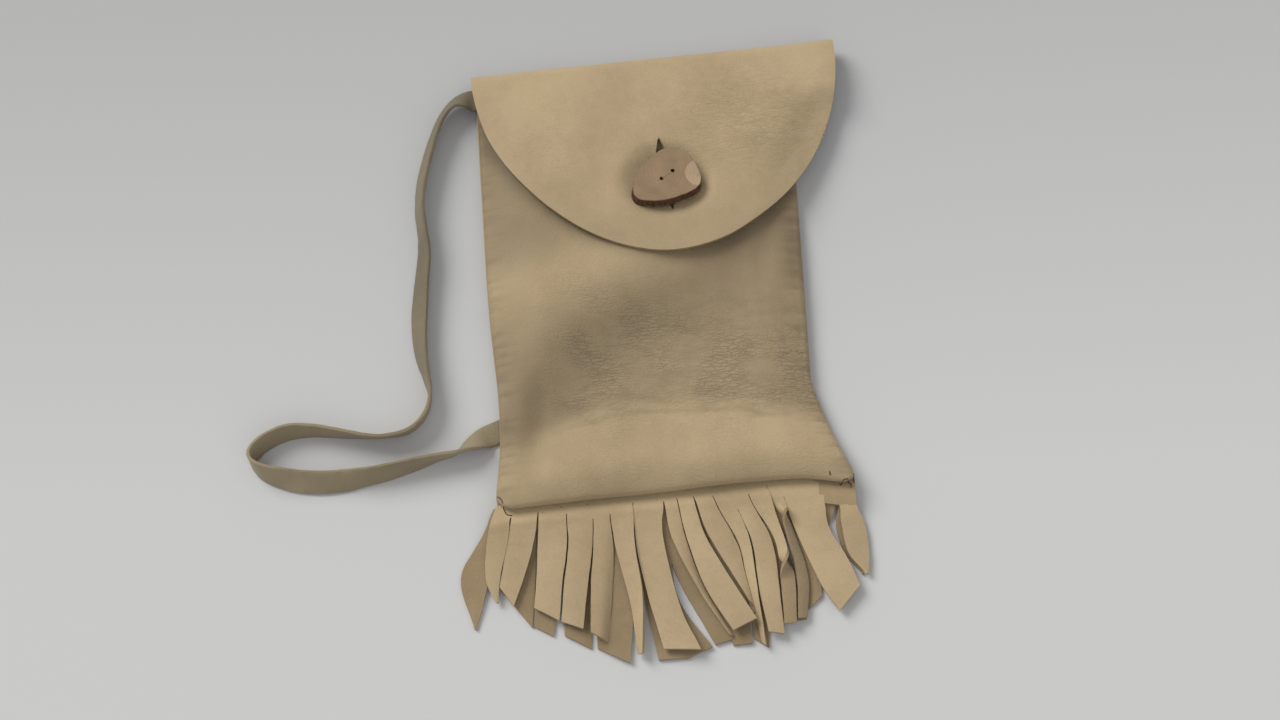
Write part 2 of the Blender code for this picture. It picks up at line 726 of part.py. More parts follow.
def button():
    """A slice across a branch: an uneven outline with softened edges and two holes."""
    middle = button_middle()
    outline = [middle + Vector((*spot, 0)) * MM for spot in BUTTON_OUTLINE]
    around = [outline[-1], *outline, *outline[:2]]
    bm = bmesh.new()
    for four in zip(around, around[1:], around[2:], around[3:]):
        for step in range(BUTTON_STEPS):
            bm.verts.new(between(*four, step / BUTTON_STEPS))
    face = bm.faces.new(list(bm.verts))
    made = bmesh.ops.extrude_face_region(bm, geom=[face])["geom"]
    raised = [item for item in made if isinstance(item, bmesh.types.BMVert)]
    bmesh.ops.translate(bm, verts=raised, vec=(0, 0, BUTTON_THICK))
    bmesh.ops.recalc_face_normals(bm, faces=bm.faces)
    piece = object_from(bm, "button", "wood")
    soften = piece.modifiers.new("edges", "BEVEL")
    soften.width = BUTTON_BEVEL
    soften.segments = 2
    soften.limit_method = "ANGLE"
    soften.angle_limit = math.radians(60)
    top = middle.z + BUTTON_THICK
    for spot in hole_spots():
        cut(piece, round_cutter("button_hole_cutter", spot, middle.z - HIDE, top + HIDE))
    return piece


def button_thread():
    """One waxed thread: up through the front and the button, across, and down again."""
    near, far = hole_spots()
    middle = button_middle()
    top = middle.z + BUTTON_THICK + EASE + THREAD / 2
    low = front_z(middle.x, middle.y) - HIDE / 2 - THREAD_TAIL
    turn = THREAD
    reach = (far - near).normalized() * turn
    heights = [mix(low, top - turn, step / SHANK_STEPS) for step in range(SHANK_STEPS + 1)]
    route = [(*near, height) for height in heights]
    for step in range(1, THREAD_TURN_STEPS):
        angle = math.pi / 2 * step / THREAD_TURN_STEPS
        spot = near + reach * (1 - math.cos(angle))
        route.append((*spot, top - turn + turn * math.sin(angle)))
    route.append((*(near + reach), top))
    last = far + near
    back = [(last.x - x, last.y - y, z) for x, y, z in reversed(route)]
    curve = bpy.data.curves.new("button_thread", "CURVE")
    curve.dimensions = "3D"
    curve.bevel_depth = THREAD / 2
    curve.bevel_resolution = 2
    curve.use_fill_caps = True
    spline = curve.splines.new("POLY")
    points = route + back
    spline.points.add(len(points) - 1)
    for point, place in zip(spline.points, points):
        point.co = (*(Vector(place) - MIDDLE), 1)
    curve.materials.append(material("thread"))
    piece = bpy.data.objects.new("button_thread", curve)
    collection("medicine_pouch").objects.link(piece)
    return piece


def cutter_object(bm, name):
    """A hidden cutting tool."""
    tool = object_from(bm, name, "thread", "cutters")
    tool.hide_render = True
    tool.display_type = "WIRE"
    return tool


def round_cutter(name, spot, low, high):
    """An upright round cutter for a thread hole."""
    bm = bmesh.new()
    radius = BUTTON_HOLE / 2
    bmesh.ops.create_cone(
        bm, cap_ends=True, segments=12, radius1=radius, radius2=radius, depth=high - low
    )
    bmesh.ops.translate(bm, verts=bm.verts, vec=(spot.x, spot.y, (low + high) / 2))
    return cutter_object(bm, name)


def slit_cutter():
    """The buttonhole, a long slit that the shank holds open: a lens in plan."""
    middle = button_middle()
    along = Vector((-math.sin(SLIT_TURN), math.cos(SLIT_TURN), 0))
    across = Vector((along.y, -along.x, 0))
    centre = Vector((middle.x, middle.y, middle.z - 3 * LAYER)) + along * SLIT_ABOVE_BUTTON
    edge = []
    for step in range(SLIT_STEPS + 1):
        run = 2 * step / SLIT_STEPS - 1
        wide = SLIT_WIDTH / 2 * (1 - run * run) ** SLIT_TAPER
        edge.append((run * SLIT_LENGTH / 2, wide))
    edge += [(run, -wide) for run, wide in reversed(edge[1:-1])]
    bm = bmesh.new()
    for run, wide in edge:
        bm.verts.new(centre + along * run + across * wide)
    face = bm.faces.new(list(bm.verts))
    made = bmesh.ops.extrude_face_region(bm, geom=[face])["geom"]
    raised = [item for item in made if isinstance(item, bmesh.types.BMVert)]
    bmesh.ops.translate(bm, verts=raised, vec=(0, 0, 4 * LAYER))
    bmesh.ops.recalc_face_normals(bm, faces=bm.faces)
    return cutter_object(bm, "slit_cutter")


def cut(piece, tool):
    """Cuts a hidden tool out of a piece."""
    boolean = piece.modifiers.new("cut", "BOOLEAN")
    boolean.operation = "DIFFERENCE"
    boolean.object = tool


def main():
    for old in list(bpy.data.objects):
        bpy.data.objects.remove(old)
    back_and_flap()
    front_panel()
    fringe("front_fringe", FRONT_STRANDS, 1, "buckskin")
    fringe("back_fringe", BACK_STRANDS, 0, "buckskin_flesh")
    strap()
    button()
    button_thread()


main()
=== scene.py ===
"""Buckskin pouch with a buttoned flap: its leather, fringe, strap, button and stitches.

Metres, +Z up. Pieces are shaped about the middle of the pouch, as the solids are, and moved
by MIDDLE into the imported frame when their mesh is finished.
"""

import math

import bmesh
import bpy
import numpy as np
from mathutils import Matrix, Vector, noise
from mathutils.bvhtree import BVHTree


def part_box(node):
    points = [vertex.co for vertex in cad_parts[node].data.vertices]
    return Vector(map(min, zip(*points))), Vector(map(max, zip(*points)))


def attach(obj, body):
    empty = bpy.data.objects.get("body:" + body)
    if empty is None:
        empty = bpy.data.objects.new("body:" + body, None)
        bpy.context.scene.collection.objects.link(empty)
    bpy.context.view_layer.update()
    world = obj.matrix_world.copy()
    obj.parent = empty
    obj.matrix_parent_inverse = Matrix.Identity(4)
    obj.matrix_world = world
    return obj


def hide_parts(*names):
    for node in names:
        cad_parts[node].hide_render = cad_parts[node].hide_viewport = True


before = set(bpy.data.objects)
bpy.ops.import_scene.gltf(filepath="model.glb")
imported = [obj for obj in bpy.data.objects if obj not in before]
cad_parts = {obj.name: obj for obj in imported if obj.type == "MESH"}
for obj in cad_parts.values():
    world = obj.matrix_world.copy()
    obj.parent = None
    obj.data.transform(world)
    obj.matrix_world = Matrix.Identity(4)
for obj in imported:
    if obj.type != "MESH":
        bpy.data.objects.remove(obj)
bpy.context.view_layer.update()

MM = 0.001
MIDDLE = Vector((-0.0029, 0.0003, 0.0))

# Leather
HIDE = 0.0012
THONG = 0.0015
EASE = 0.0003
LAYER = HIDE + EASE
ROLL = (HIDE + EASE) / 2
ROLL_REACH = ROLL + HIDE / 2

# Body of the pouch, seen from above
SEAM_Y = -0.0682
SEAM_TILT = math.radians(2.5)
SEAM_BOW = 0.0020
BODY_LENGTH = 0.1974
LEFT_FOOT = -0.0705
LEFT_HEAD = -0.0765
RIGHT_WAIST = 0.0610
FOOT_FLARE = 0.0160
FOOT_FLARE_REACH = 0.0480
FOOT_FLARE_CURVE = 1.2
HEAD_FLARE = 0.0140
HEAD_FLARE_REACH = 0.0500
HEAD_FLARE_CURVE = 1.4
HEAD_FLARE_MOST = 1.3
CORNER_RADIUS = 0.0062
LEFT_DRAWN_IN = 0.0021
LEFT_FLARE = 0.0017
SEAM_SAG = 0.0004
SEAM_SAG_LEFT = 0.0023
SEAM_SAG_CORNER = 0.0028

# Turned seams
ALLOWANCE = 0.0060
ALLOWANCE_CLEAR_OF_CORNER = 0.0120
ROLL_STEPS = 6
# Steps of the roll past this one get painted shadow
PAINTED_SHADOW_ROLL_STEP = 4
FRONT_ROLL_BULGE = 0.4

# Filled shape of the front
LOFT = 0.0052
SIDE_EASE_IN = 0.0220
SIDE_PUFF = 0.0120
SIDE_PUFF_SHARE = 0.4
SEAM_EASE_IN = 0.0170
SEAM_PUFF = 0.0130
SEAM_PUFF_SHARE = 0.62
MOUTH_SLACK = 0.0026
MOUTH_SLACK_REACH = 0.0550
SEAM_RISE_FLAT = 0.0080
SEAM_RISE_REACH = 0.0200

# Flap
FOLD_WIDTH = 0.1590
FOLD_X = 0.0015
FOLD_TILT = math.radians(4.3)
FOLD_DEPTH = 0.0042
FLAP_LENGTH = 0.0928
FLAP_POINT = 0.11
FLAP_POINT_CURVE = 2
FLAP_SIDE_ANGLE = math.radians(62)
FLAP_CLEARANCE = 0.0010
FLAP_EASE_OUT = 0.0080
FLAP_DROOP = 0.08

# Button and its slit
BUTTON_X = 0.0050
BUTTON_DROP = 0.0585
HOLE_SPACING = 0.0060
HOLE_TURN = math.radians(36)
SLIT_HALF = 0.0180
SLIT_WIDTH = 0.0074
SLIT_TAPER = 1.2
SLIT_TURN = math.radians(8)
SLIT_ABOVE_BUTTON = 0.0032

# Fringe
SLIT_GAP = 0.0003
FALL_REACH = 0.0180
BAND_INSET = 0.0015
STRIP_PUFF = 0.0009
STRIP_PUFF_AT = 0.0042
STRIP_PUFF_WIDTH = 0.0026

# Strap
STRAP_WIDTH = 0.0100
RIDGE_FLAT = 0.0090
RIDGE_END = 0.0210

# Strands, left to right, in millimetres: the left and right x of the root at the seam, then
# the left and right edge at the upper third, the lower third and the tip, each as x, y, x, y.
FRONT_STRANDS = (
    ((-72.3, -66.0), (-75.9, -87, -67.2, -86), (-76.5, -103, -70.9, -103.5), (-72.8, -113, -72.1, -113.5)),
    ((-65.7, -54.6), (-67.6, -88, -56.8, -87.5), (-69.7, -99, -60.4, -100.5), (-71.1, -107, -65.7, -115.5)),
    ((-54.6, -43.1), (-55.3, -89.5, -43.6, -91), (-56.2, -104.5, -45.7, -105), (-57.5, -116.5, -47.5, -122.5)),
    ((-43.1, -32.4), (-42.9, -91, -33.3, -91.5), (-44.8, -105, -35.1, -104.5), (-46.6, -123, -38.1, -126.5)),
    ((-32.4, -25.4), (-32.8, -92.5, -24.9, -93.5), (-34.3, -108.5, -26.2, -111), (-35, -128.5, -28.6, -132)),
    ((-25.4, -15.9), (-22.9, -94, -15.5, -93), (-18.1, -117, -13.4, -113.5), (-16.2, -137.5, -14.4, -138.5)),
    ((-15.9, -3.3), (-15, -92, -4.2, -87.5), (-11.4, -113.5, 1.1, -118), (-6.1, -136.5, 8.7, -137.5)),
    ((-3.3, 2.1), (0.0, -90, 5.5, -91), (10.0, -113, 11.6, -111), (20.6, -131, 21.9, -131.5)),
    ((2.1, 8.9), (6.2, -91.5, 12.9, -88), (11.9, -111, 20.7, -105), (22.2, -130, 31.8, -125.5)),
    ((8.9, 16.9), (14.3, -88, 25.8, -92), (22.6, -104.5, 28.1, -104.5), (30.2, -119, 31.1, -122)),
    ((16.9, 27), (26.9, -92, 31.2, -91), (29.2, -108, 32.9, -110), (34, -134.5, 35.3, -136.5)),
    ((27, 31.5), (32, -92.5, 39.8, -91.5), (33.6, -112, 41.7, -112), (36.3, -131, 42.5, -132)),
    ((31.5, 39.2), (41.5, -91, 44.8, -89), (42.6, -110, 48.2, -109), (42.8, -128, 47.6, -127.5)),
    ((39.2, 46), (45.5, -85.5, 48.7, -85.5), (49.1, -108, 53.4, -107), (48.5, -125.5, 52.2, -125)),
    ((46, 62.7), (49.5, -85.5, 63.7, -87), (58.4, -110.5, 70.1, -100.5), (65.5, -123, 74.5, -112.5)),
    ((68.4, 75.7), (69, -86.5, 78.7, -87), (71, -98.5, 79.2, -98), (77.6, -107, 78.2, -107.5)),
)
BACK_STRANDS = (
    ((-73.0, -69), (-77.6, -84, -72.7, -85.5), (-86.9, -101.5, -75.9, -105), (-81.8, -123.5, -81.1, -124)),
    ((-65.7, -55.7), (-67, -87, -56.1, -88.5), (-69.9, -101, -56.8, -103.5), (-70.7, -107.5, -58.5, -124)),
    ((-55.7, -45.3), (-55.8, -88.5, -45.1, -89), (-56.4, -103.5, -46.2, -104.5), (-57.9, -123.5, -50.2, -128)),
    ((-45.3, -33.9), (-44.5, -89, -32.8, -89.5), (-45.4, -104, -33.4, -105.5), (-45.5, -128, -35.2, -134)),
    ((-33.9, -21.9), (-32.2, -90.5, -21.2, -93), (-32.7, -107.5, -17.4, -112.5), (-32.5, -134, -19.7, -141)),
    ((-20.7, -3.2), (-16.2, -91.5, -3.9, -90.5), (-12.7, -114, 0.6, -115.5), (-8.3, -140, 4.3, -139.5)),
    ((-3.2, 3.6), (-5.0, -90, -1.2, -91), (-4.5, -112, 1.2, -115), (2.5, -140, 13.5, -135.5)),
    ((3.6, 18.2), (-1.5, -92, 14.3, -90.5), (1.8, -107, 17.9, -108), (14.8, -134.5, 23.5, -132)),
    ((18.2, 28.8), (14.9, -90.5, 24.7, -91), (18.6, -108.5, 27.9, -109), (22, -135, 29.8, -134.5)),
    ((28.8, 39.6), (25.3, -91, 34.3, -91.5), (28.8, -109, 37.4, -109.5), (30.7, -132.5, 36.4, -136.5)),
    ((39.6, 51.1), (36.5, -90.5, 45.9, -91), (39.6, -109, 50.2, -109.5), (43.3, -126.5, 52.3, -125)),
    ((51.1, 67.2), (47.4, -87.5, 62.6, -89.5), (52, -106, 59.2, -102), (53.4, -121, 58.9, -115.5)),
    ((67.9, 75.7), (66.9, -85.5, 77.4, -86), (69.9, -97.5, 77.8, -98), (75.9, -106, 76.5, -107)),
)
# How far below the seam each slit starts, in millimetres, between one strand and the next
FRONT_SLITS = (2.4, 1.4, 3.6, 6.5, 5.3, 1.7, 2.6, 1.7, 1.9, 2.8, 9.1, 3.7, 0.7, 5.9, 8.0)
BACK_SLITS = (3.0, 3.0, 2.5, 2.0, 3.0, 2.5, 3.0, 4.5, 3.5, 3.0, 5.0, 8.0)
EDGE_OF_STRIP = -3.0
CORNER_OF_STRIP = 6.8

# Strap route: x, y and the height of its lowest edge in millimetres, then its lean in
# degrees, 0 lying flat, 90 standing on edge and 180 flat again with its other side up.
LEFT_TAIL = (
    (-62.0, 118.4, 3.0, 0),
    (-70.0, 118.6, 3.0, 0),
    (-76.8, 119.2, 3.0, 0),
    (-78.6, 119.3, 2.8, 6),
    (-82.4, 118.6, 2.2, 32),
    (-86.8, 116.2, 1.4, 54),
    (-91.4, 109.8, 0.8, 64),
)
LOOSE_LOOP = (
    (-94.8, 101.0, 0.5, 66),
    (-97.6, 91.0, 0.4, 64),
    (-100.2, 79.0, 0.4, 65),
    (-101.2, 66.0, 0.4, 70),
    (-100.0, 54.0, 0.4, 69),
    (-99.6, 44.0, 0.4, 58),
    (-100.8, 31.0, 0.4, 52),
    (-101.8, 18.0, 0.4, 48),
    (-102.0, 7.0, 0.4, 53),
    (-101.2, -3.0, 0.2, 64),
    (-99.4, -12.0, 0.0, 79),
    (-98.0, -21.0, 0.0, 86),
    (-100.4, -30.0, 0.0, 82),
    (-107.1, -36.8, 0.0, 76),
    (-116.9, -38.8, 0.0, 70),
    (-125.0, -38.5, 0.0, 74),
    (-133.7, -37.1, 0.0, 83),
    (-146.6, -35.1, 0.0, 95),
    (-157.0, -35.4, 0.0, 105),
    (-165.6, -39.0, 0.0, 107),
    (-170.6, -43.4, 0.0, 108),
    (-172.2, -47.2, 0.0, 96),
    (-170.0, -50.6, 0.0, 86),
    (-164.6, -54.0, 0.0, 68),
    (-154.0, -56.9, 0.0, 48),
    (-144.0, -58.0, 0.0, 44),
    (-134.0, -57.8, 0.0, 51),
    (-124.0, -56.5, 0.0, 66),
    (-114.5, -54.6, 0.0, 73),
    (-104.0, -51.8, 0.0, 84),
    (-95.1, -49.3, 0.0, 98),
    (-88.6, -47.9, 0.0, 106),
    (-84.8, -46.2, 0.0, 118),
    (-81.6, -43.9, 0.0, 138),
)
HIDDEN_RUN = (
    (-77.8, -41.4, 0.0, 160),
    (-74.8, -39.6, 0.0, 180),
    (-73.2, -38.8, 0.0, 180),
    (-68.0, -36.4, 0.0, 180),
    (-56.0, -30.6, 0.0, 180),
    (-40.0, -19.6, 0.0, 180),
    (-18.0, 1.6, 0.0, 180),
    (5.0, 31.0, 0.0, 180),
    (26.0, 64.0, 0.0, 180),
    (42.0, 94.0, 0.0, 180),
    (53.0, 114.0, 0.0, 180),
    (64.0, 124.0, 0.0, 180),
    (74.0, 126.4, 0.0, 180),
)
RIGHT_TURN = (
    (77.6, 126.5, 0.0, 180),
    (79.6, 126.5, 1.4, 180),
    (79.9, 126.5, 2.9, 180),
    (78.4, 126.5, 4.3, 180),
    (75.0, 126.5, 4.8, 180),
    (68.0, 126.5, 4.8, 180),
    (61.0, 126.5, 4.8, 180),
)
STRAP_ROUTE = LEFT_TAIL + LOOSE_LOOP + HIDDEN_RUN + RIGHT_TURN

# The button's outline from its middle, anticlockwise from its left, in millimetres
BUTTON_OUTLINE = (
    (-14.8, -5.2),
    (-14.2, -9.6),
    (-11.0, -11.8),
    (-2.7, -12.3),
    (5.6, -10.2),
    (12.6, -6.6),
    (14.6, -0.8),
    (11.8, 6.4),
    (7.4, 11.8),
    (-0.6, 12.8),
    (-7.6, 8.0),
    (-12.6, 1.6),
)


def smooth(share):
    """0 to 1 with a soft start and a soft end."""
    share = np.clip(share, 0.0, 1.0)
    return share * share * (3 - 2 * share)


def puff(share):
    """0 to 1 with a steep start, the profile of a leather edge that is turned under."""
    return np.sqrt(1 - (1 - np.clip(share, 0.0, 1.0)) ** 2)


def mix(a, b, share):
    return a + (b - a) * share


def bell(distance, width):
    return np.exp(-((distance / width) ** 2))


def between(a, b, c, d, share):
    """A point of the smooth curve from b to c whose neighbours are a and d."""
    rise = (c - a) * share
    bend = (a * 2 - b * 5 + c * 4 - d) * share**2
    turn = (b * 3 - a - c * 3 + d) * share**3
    return b + (rise + bend + turn) / 2


def smooth_curve(points, steps):
    """Points of a smooth curve through these, with so many steps to each stretch."""
    padded = [points[0] * 2 - points[1], *points, points[-1] * 2 - points[-2]]
    spots = []
    for four in zip(padded, padded[1:], padded[2:], padded[3:]):
        spots += [between(*four, step / steps) for step in range(steps)]
    return spots + [points[-1]]


def waves(x, y, length, seed, stretch=1.0):
    """Soft noise of about this wave length, drawn out along x by stretch."""
    across = np.ravel(x / (length * stretch))
    along = np.ravel(y / length)
    values = [noise.noise((a, b, seed)) for a, b in zip(across, along)]
    return np.reshape(values, np.shape(x))


def crease_lines(x, y, length, seed, stretch, width):
    """1 along wandering lines drawn out along x, falling to 0 beside them."""
    return np.clip(1 - abs(waves(x, y, length, seed, stretch)) / width, 0.0, 1.0)


def seam_y(x):
    """The bottom seam: a tilted line with a slight bow, sagging at its left and its corner."""
    half = (RIGHT_WAIST + FOOT_FLARE - LEFT_FOOT) / 2
    middle = (RIGHT_WAIST + FOOT_FLARE + LEFT_FOOT) / 2
    line = SEAM_Y + x * math.tan(SEAM_TILT) - SEAM_BOW * ((x - middle) / half) ** 2
    left = SEAM_SAG_LEFT * (1 - smooth((x + 0.015) / 0.065))
    corner = SEAM_SAG_CORNER * smooth((x - 0.052) / 0.025)
    return line - SEAM_SAG - left - corner


def mouth_y(x):
    """The mouth edge of the front, parallel to the fold."""
    return SEAM_Y + BODY_LENGTH + (x - FOLD_X) * math.tan(FOLD_TILT)


def fold_start_y(x):
    """Where the back starts to turn over into the flap."""
    return mouth_y(x) + LAYER


def left_x(y):
    """The left edge of the body, drawn in above the foot and flaring to its corner."""
    drawn = LEFT_DRAWN_IN * bell(y + 0.028, 0.032)
    flare = LEFT_FLARE * (1 - smooth((y - SEAM_Y) / 0.022))
    return mix(LEFT_FOOT, LEFT_HEAD, (y - SEAM_Y) / BODY_LENGTH) + drawn - flare


def right_x(y):
    """The right edge of the body, which flares to both of its corners."""
    from_foot = np.maximum(1 - (y - SEAM_Y) / FOOT_FLARE_REACH, 0)
    from_head = np.maximum(1 - (SEAM_Y + BODY_LENGTH - y) / HEAD_FLARE_REACH, 0)
    foot = FOOT_FLARE * from_foot**FOOT_FLARE_CURVE
    head = HEAD_FLARE * from_head**HEAD_FLARE_CURVE
    head = np.minimum(head, HEAD_FLARE_MOST * HEAD_FLARE)
    return RIGHT_WAIST + np.minimum(foot, FOOT_FLARE) + head


def route_distance(x, y, route):
    """Distance in plan to a line through these points, given in millimetres."""
    best = np.full(np.shape(x), np.inf)
    for a, b in zip(route, route[1:]):
        start = np.array(a[:2]) * MM
        along = np.array(b[:2]) * MM - start
        share = ((x - start[0]) * along[0] + (y - start[1]) * along[1]) / (along @ along)
        share = np.clip(share, 0, 1)
        gap = np.hypot(x - start[0] - share * along[0], y - start[1] - share * along[1])
        best = np.minimum(best, gap)
    return best


def ridge(x, y, route):
    """How far the leather over a stretch of the strap is lifted by it."""
    reach = (route_distance(x, y, route) - RIDGE_FLAT) / (RIDGE_END - RIDGE_FLAT)
    return (THONG + EASE) * (1 - smooth(reach))


def back_z(x, y):
    """Middle surface of the back, which bends over the strap beneath it."""
    return HIDE / 2 + ridge(x, y, LOOSE_LOOP[-1:] + HIDDEN_RUN + RIGHT_TURN[:1])


def rim_z(x, y, inside):
    """Middle surface of the front at a seam. inside is 1 well within the seams."""
    caught = ridge(x, y, LEFT_TAIL[:3]) + ridge(x, y, RIGHT_TURN[4:])
    lifted = (back_z(x, y) - HIDE / 2 + caught) * (1 - inside)
    from_seam = (y - seam_y(x) - SEAM_RISE_FLAT) / SEAM_RISE_REACH
    return HIDE / 2 + 3 * LAYER + lifted + 2 * LAYER * (1 - smooth(from_seam))


BUTTON_SPOT = Vector((BUTTON_X, fold_start_y(BUTTON_X) - BUTTON_DROP))
DENT = 0.0030
DENT_FLAT = 0.0115
DENT_REACH = 0.0115
BUTTON_SINK = 0.0014


def dent(x, y):
    """How far the leather is drawn down round the button's shank."""
    away = np.hypot(x - BUTTON_SPOT.x, (y - BUTTON_SPOT.y) * 1.12)
    return DENT * (1 - smooth((away - DENT_FLAT) / DENT_REACH))


def filled_z(x, y, inside, from_seam):
    """Middle surface of the filled front, from how far it is within its seams."""
    from_mouth = smooth((mouth_y(x) - y) / MOUTH_SLACK_REACH)
    fill = mix(LOFT - MOUTH_SLACK, LOFT, from_mouth)
    return rim_z(x, y, inside) + fill * inside * from_seam - dent(x, y)


def front_z(x, y):
    """Middle surface of the front without its wrinkles, filled out between its seams."""
    left = x - left_x(y) - ROLL_REACH
    right = right_x(y) - x - ROLL_REACH
    from_left = mix(smooth(left / SIDE_EASE_IN), puff(left / SIDE_PUFF), SIDE_PUFF_SHARE)
    from_right = mix(smooth(right / SIDE_EASE_IN), puff(right / SIDE_PUFF), SIDE_PUFF_SHARE)
    above = y - seam_y(x) - ROLL_REACH
    from_seam = mix(smooth(above / SEAM_EASE_IN), puff(above / SEAM_PUFF), SEAM_PUFF_SHARE)
    return filled_z(x, y, from_left * from_right, from_seam)


# The shallow trough that runs down the front to its lower left
TROUGH = ((58, 46), (47, 37), (17, 24), (-9, 7), (-27, -4), (-39, -15), (-52, -30), (-64, -48))
TROUGH_DEPTH = 0.0038
# The soft fold above it, which catches the light
CREST = ((-68, 22), (-50, 24), (-26, 34), (4, 46))
CREST_HEIGHT = 0.0012
CREST_WIDTH = 0.0110
TROUGH_WIDTH = 0.0150
# The line across the front below which it is full and smooth
BREAK_X = 0.0080
BREAK_Y = -0.0345
BREAK_FALL = 3.0


def break_y(x):
    return BREAK_Y - BREAK_FALL * (x - BREAK_X) ** 2


def front_relief(x, y):
    """Creases and hollows of the front: their height, and how deep in a crease each point is."""
    low = break_y(x) + 0.0024 * waves(x, y, 0.013, 2.5)
    below = low - y
    full = 0.0013 * smooth(below / 0.010)
    left, right = x - left_x(y), right_x(y) - x
    side = np.minimum(left, right)
    clear = smooth((side - ALLOWANCE) / 0.014)
    trough = -TROUGH_DEPTH * clear * bell(route_distance(x, y, TROUGH), TROUGH_WIDTH)
    crest = CREST_HEIGHT * bell(route_distance(x, y, CREST), CREST_WIDTH)
    swell = 0.0007 * waves(x, y, 0.034, 7.1) + 0.0003 * waves(x, y, 0.013, 3.3)

    across = smooth((x + 0.056) / 0.03)
    network = smooth((0.040 - y + break_y(x) - BREAK_Y) / 0.042) * smooth(1 - below / 0.004)
    network = network * across
    long_lines = crease_lines(x, y + 0.12 * x, 0.0052, 11.0, 3.2, 0.20)
    short_lines = crease_lines(x, y - 0.15 * x, 0.0030, 12.0, 2.4, 0.24)
    lines = 0.6 * network * (0.62 * long_lines + 0.38 * short_lines)

    line_spread = smooth((0.058 - abs(x - 0.004)) / 0.02)
    pressed = bell(below, 0.0010) * line_spread

    near_side = bell(np.maximum(side - 0.0015, 0), 0.0062)
    tucks = near_side * crease_lines(x, y, 0.0048, 21.0, 9.0, 0.26)
    ripple = near_side * waves(x, y, 0.0044, 22.0, 6.0)
    above = y - seam_y(x)
    near_seam = bell(np.maximum(above - 0.002, 0), 0.0052)
    gathers = near_seam * waves(y, x, 0.0075, 23.0, 5.0)

    fine = 0.4 + 0.6 * smooth(below / -0.006)
    pebble = fine * waves(x, y, 0.0021, 31.0, 1.6)
    # depth is the mask for the painted shade in the creases, the pressed line and the tucks
    depth = np.clip(0.55 * lines + 0.25 * pressed + 0.42 * tucks, 0, 1)
    height = (
        full
        + trough
        + crest
        + swell
        - 0.00034 * lines
        - 0.00018 * pressed
        - 0.00055 * tucks
        + 0.00030 * ripple
        + 0.00030 * gathers
        + 0.00007 * pebble
    )
    return height * smooth((side - 0.0004) / 0.003), depth


def front_painted_light_tone_and_crackle(x, y):
    """How much paler or darker the front is painted, mostly painted light and shade with a little random tone,
    and where its grain is crackled.
    """
    low = break_y(x) + 0.0024 * waves(x, y, 0.013, 2.5)
    above = smooth((y - low + 0.001) / 0.010)
    hollow = bell(route_distance(x, y, TROUGH), 0.016)
    crest = bell(route_distance(x, y, CREST), 0.016)
    cloud = 0.03 * waves(x, y, 0.022, 61.0)
    roll = bell(np.maximum(y - seam_y(x) - 0.002, 0), 0.0065)
    under_flap = bell(route_distance(x, y, FLAP_OUTLINE), 0.0040)
    # Painted shade above the break line, in the trough and on the roll by the seam, and a painted highlight on
    # the crest; cloud is a random tone
    shade = 0.03 - 0.25 * above - 0.17 * hollow + 0.22 * crest - 0.13 * roll + cloud
    at_left = smooth((-0.048 - x) / 0.014) * smooth((y + 0.02) / 0.05)
    # Painted shadow along the flap's edge, and darker along the left side
    shade = shade - 0.24 * under_flap - 0.09 * at_left
    spread_down = smooth((0.034 - y - 0.25 * x) / 0.040)
    crackle = spread_down * smooth((x + 0.060) / 0.03) * mix(0.35, 1.0, above)
    patchy = smooth(0.60 + 0.8 * waves(x, y, 0.016, 62.0))
    return shade, np.clip(crackle * patchy + 0.10, 0, 1)


def corner_arc(distance):
    """Where a side or the foot runs near a round corner: its shift along and inwards."""
    turn = math.pi / 4 * np.clip(1 - distance / CORNER_RADIUS, 0, 1)
    near = distance < CORNER_RADIUS
    along = np.where(near, CORNER_RADIUS * (1 - np.sin(turn)) - distance, 0)
    inward = np.where(near, CORNER_RADIUS * (1 - np.cos(turn)), 0)
    return along, inward


def patch(left, right, low, high, u, v):
    """Points of the surface stretched between four edge curves, by row and column."""
    u, v = u[None, :, None], v[:, None, None]
    left, right = left[:, None, :], right[:, None, :]
    low, high = low[None, :, :], high[None, :, :]
    sides = mix(left, right, u)
    ends = mix(low, high, v)
    corners = mix(mix(left[:1], right[:1], u), mix(left[-1:], right[-1:], u), v)
    return sides + ends - corners


def body_plan(u, v, top_y):
    """Points of a body panel in plan, inside its rolled edges. v is 1 at top_y."""
    foot_left = left_x(SEAM_Y) + ROLL_REACH
    foot_right = right_x(SEAM_Y) - ROLL_REACH

    def side(edge, inward):
        x = edge(SEAM_Y)
        low = seam_y(x) + ROLL_REACH
        y = mix(low, top_y(edge(SEAM_Y + BODY_LENGTH)), v)
        along, drawn = corner_arc(y - low)
        return np.stack((edge(y) + inward * (ROLL_REACH + drawn), y + along), axis=-1)

    left, right = side(left_x, 1), side(right_x, -1)
    x = mix(foot_left, foot_right, u)
    from_left, from_right = x - foot_left, foot_right - x
    along_left, drawn_left = corner_arc(from_left)
    along_right, drawn_right = corner_arc(from_right)
    rise = np.maximum(drawn_left, drawn_right)
    foot = np.stack((x + along_left - along_right, seam_y(x) + ROLL_REACH + rise), axis=-1)
    x = mix(left[-1, 0], right[-1, 0], u)
    return patch(left, right, foot, np.stack((x, top_y(x)), axis=-1), u, v)


def fold_line(u):
    """Points along the fold, from its left end to its right end."""
    x = FOLD_X + (u - 0.5) * FOLD_WIDTH * math.cos(FOLD_TILT)
    return np.stack((x, fold_start_y(x)), axis=-1)


def flap_edge(angle):
    """The flap's outline, a pointed half ellipse hung from the fold. 0 is its tip."""
    down = np.cos(angle)
    across = np.sin(angle) * (1 - FLAP_POINT * down**FLAP_POINT_CURVE)
    lean = np.array((math.cos(FOLD_TILT), math.sin(FOLD_TILT)))
    drop = np.array((lean[1], -lean[0]))
    middle = fold_line(np.array([0.5]))[0]
    return middle + np.multiply.outer(across * FOLD_WIDTH / 2, lean) + np.multiply.outer(
        down * FLAP_LENGTH, drop
    )


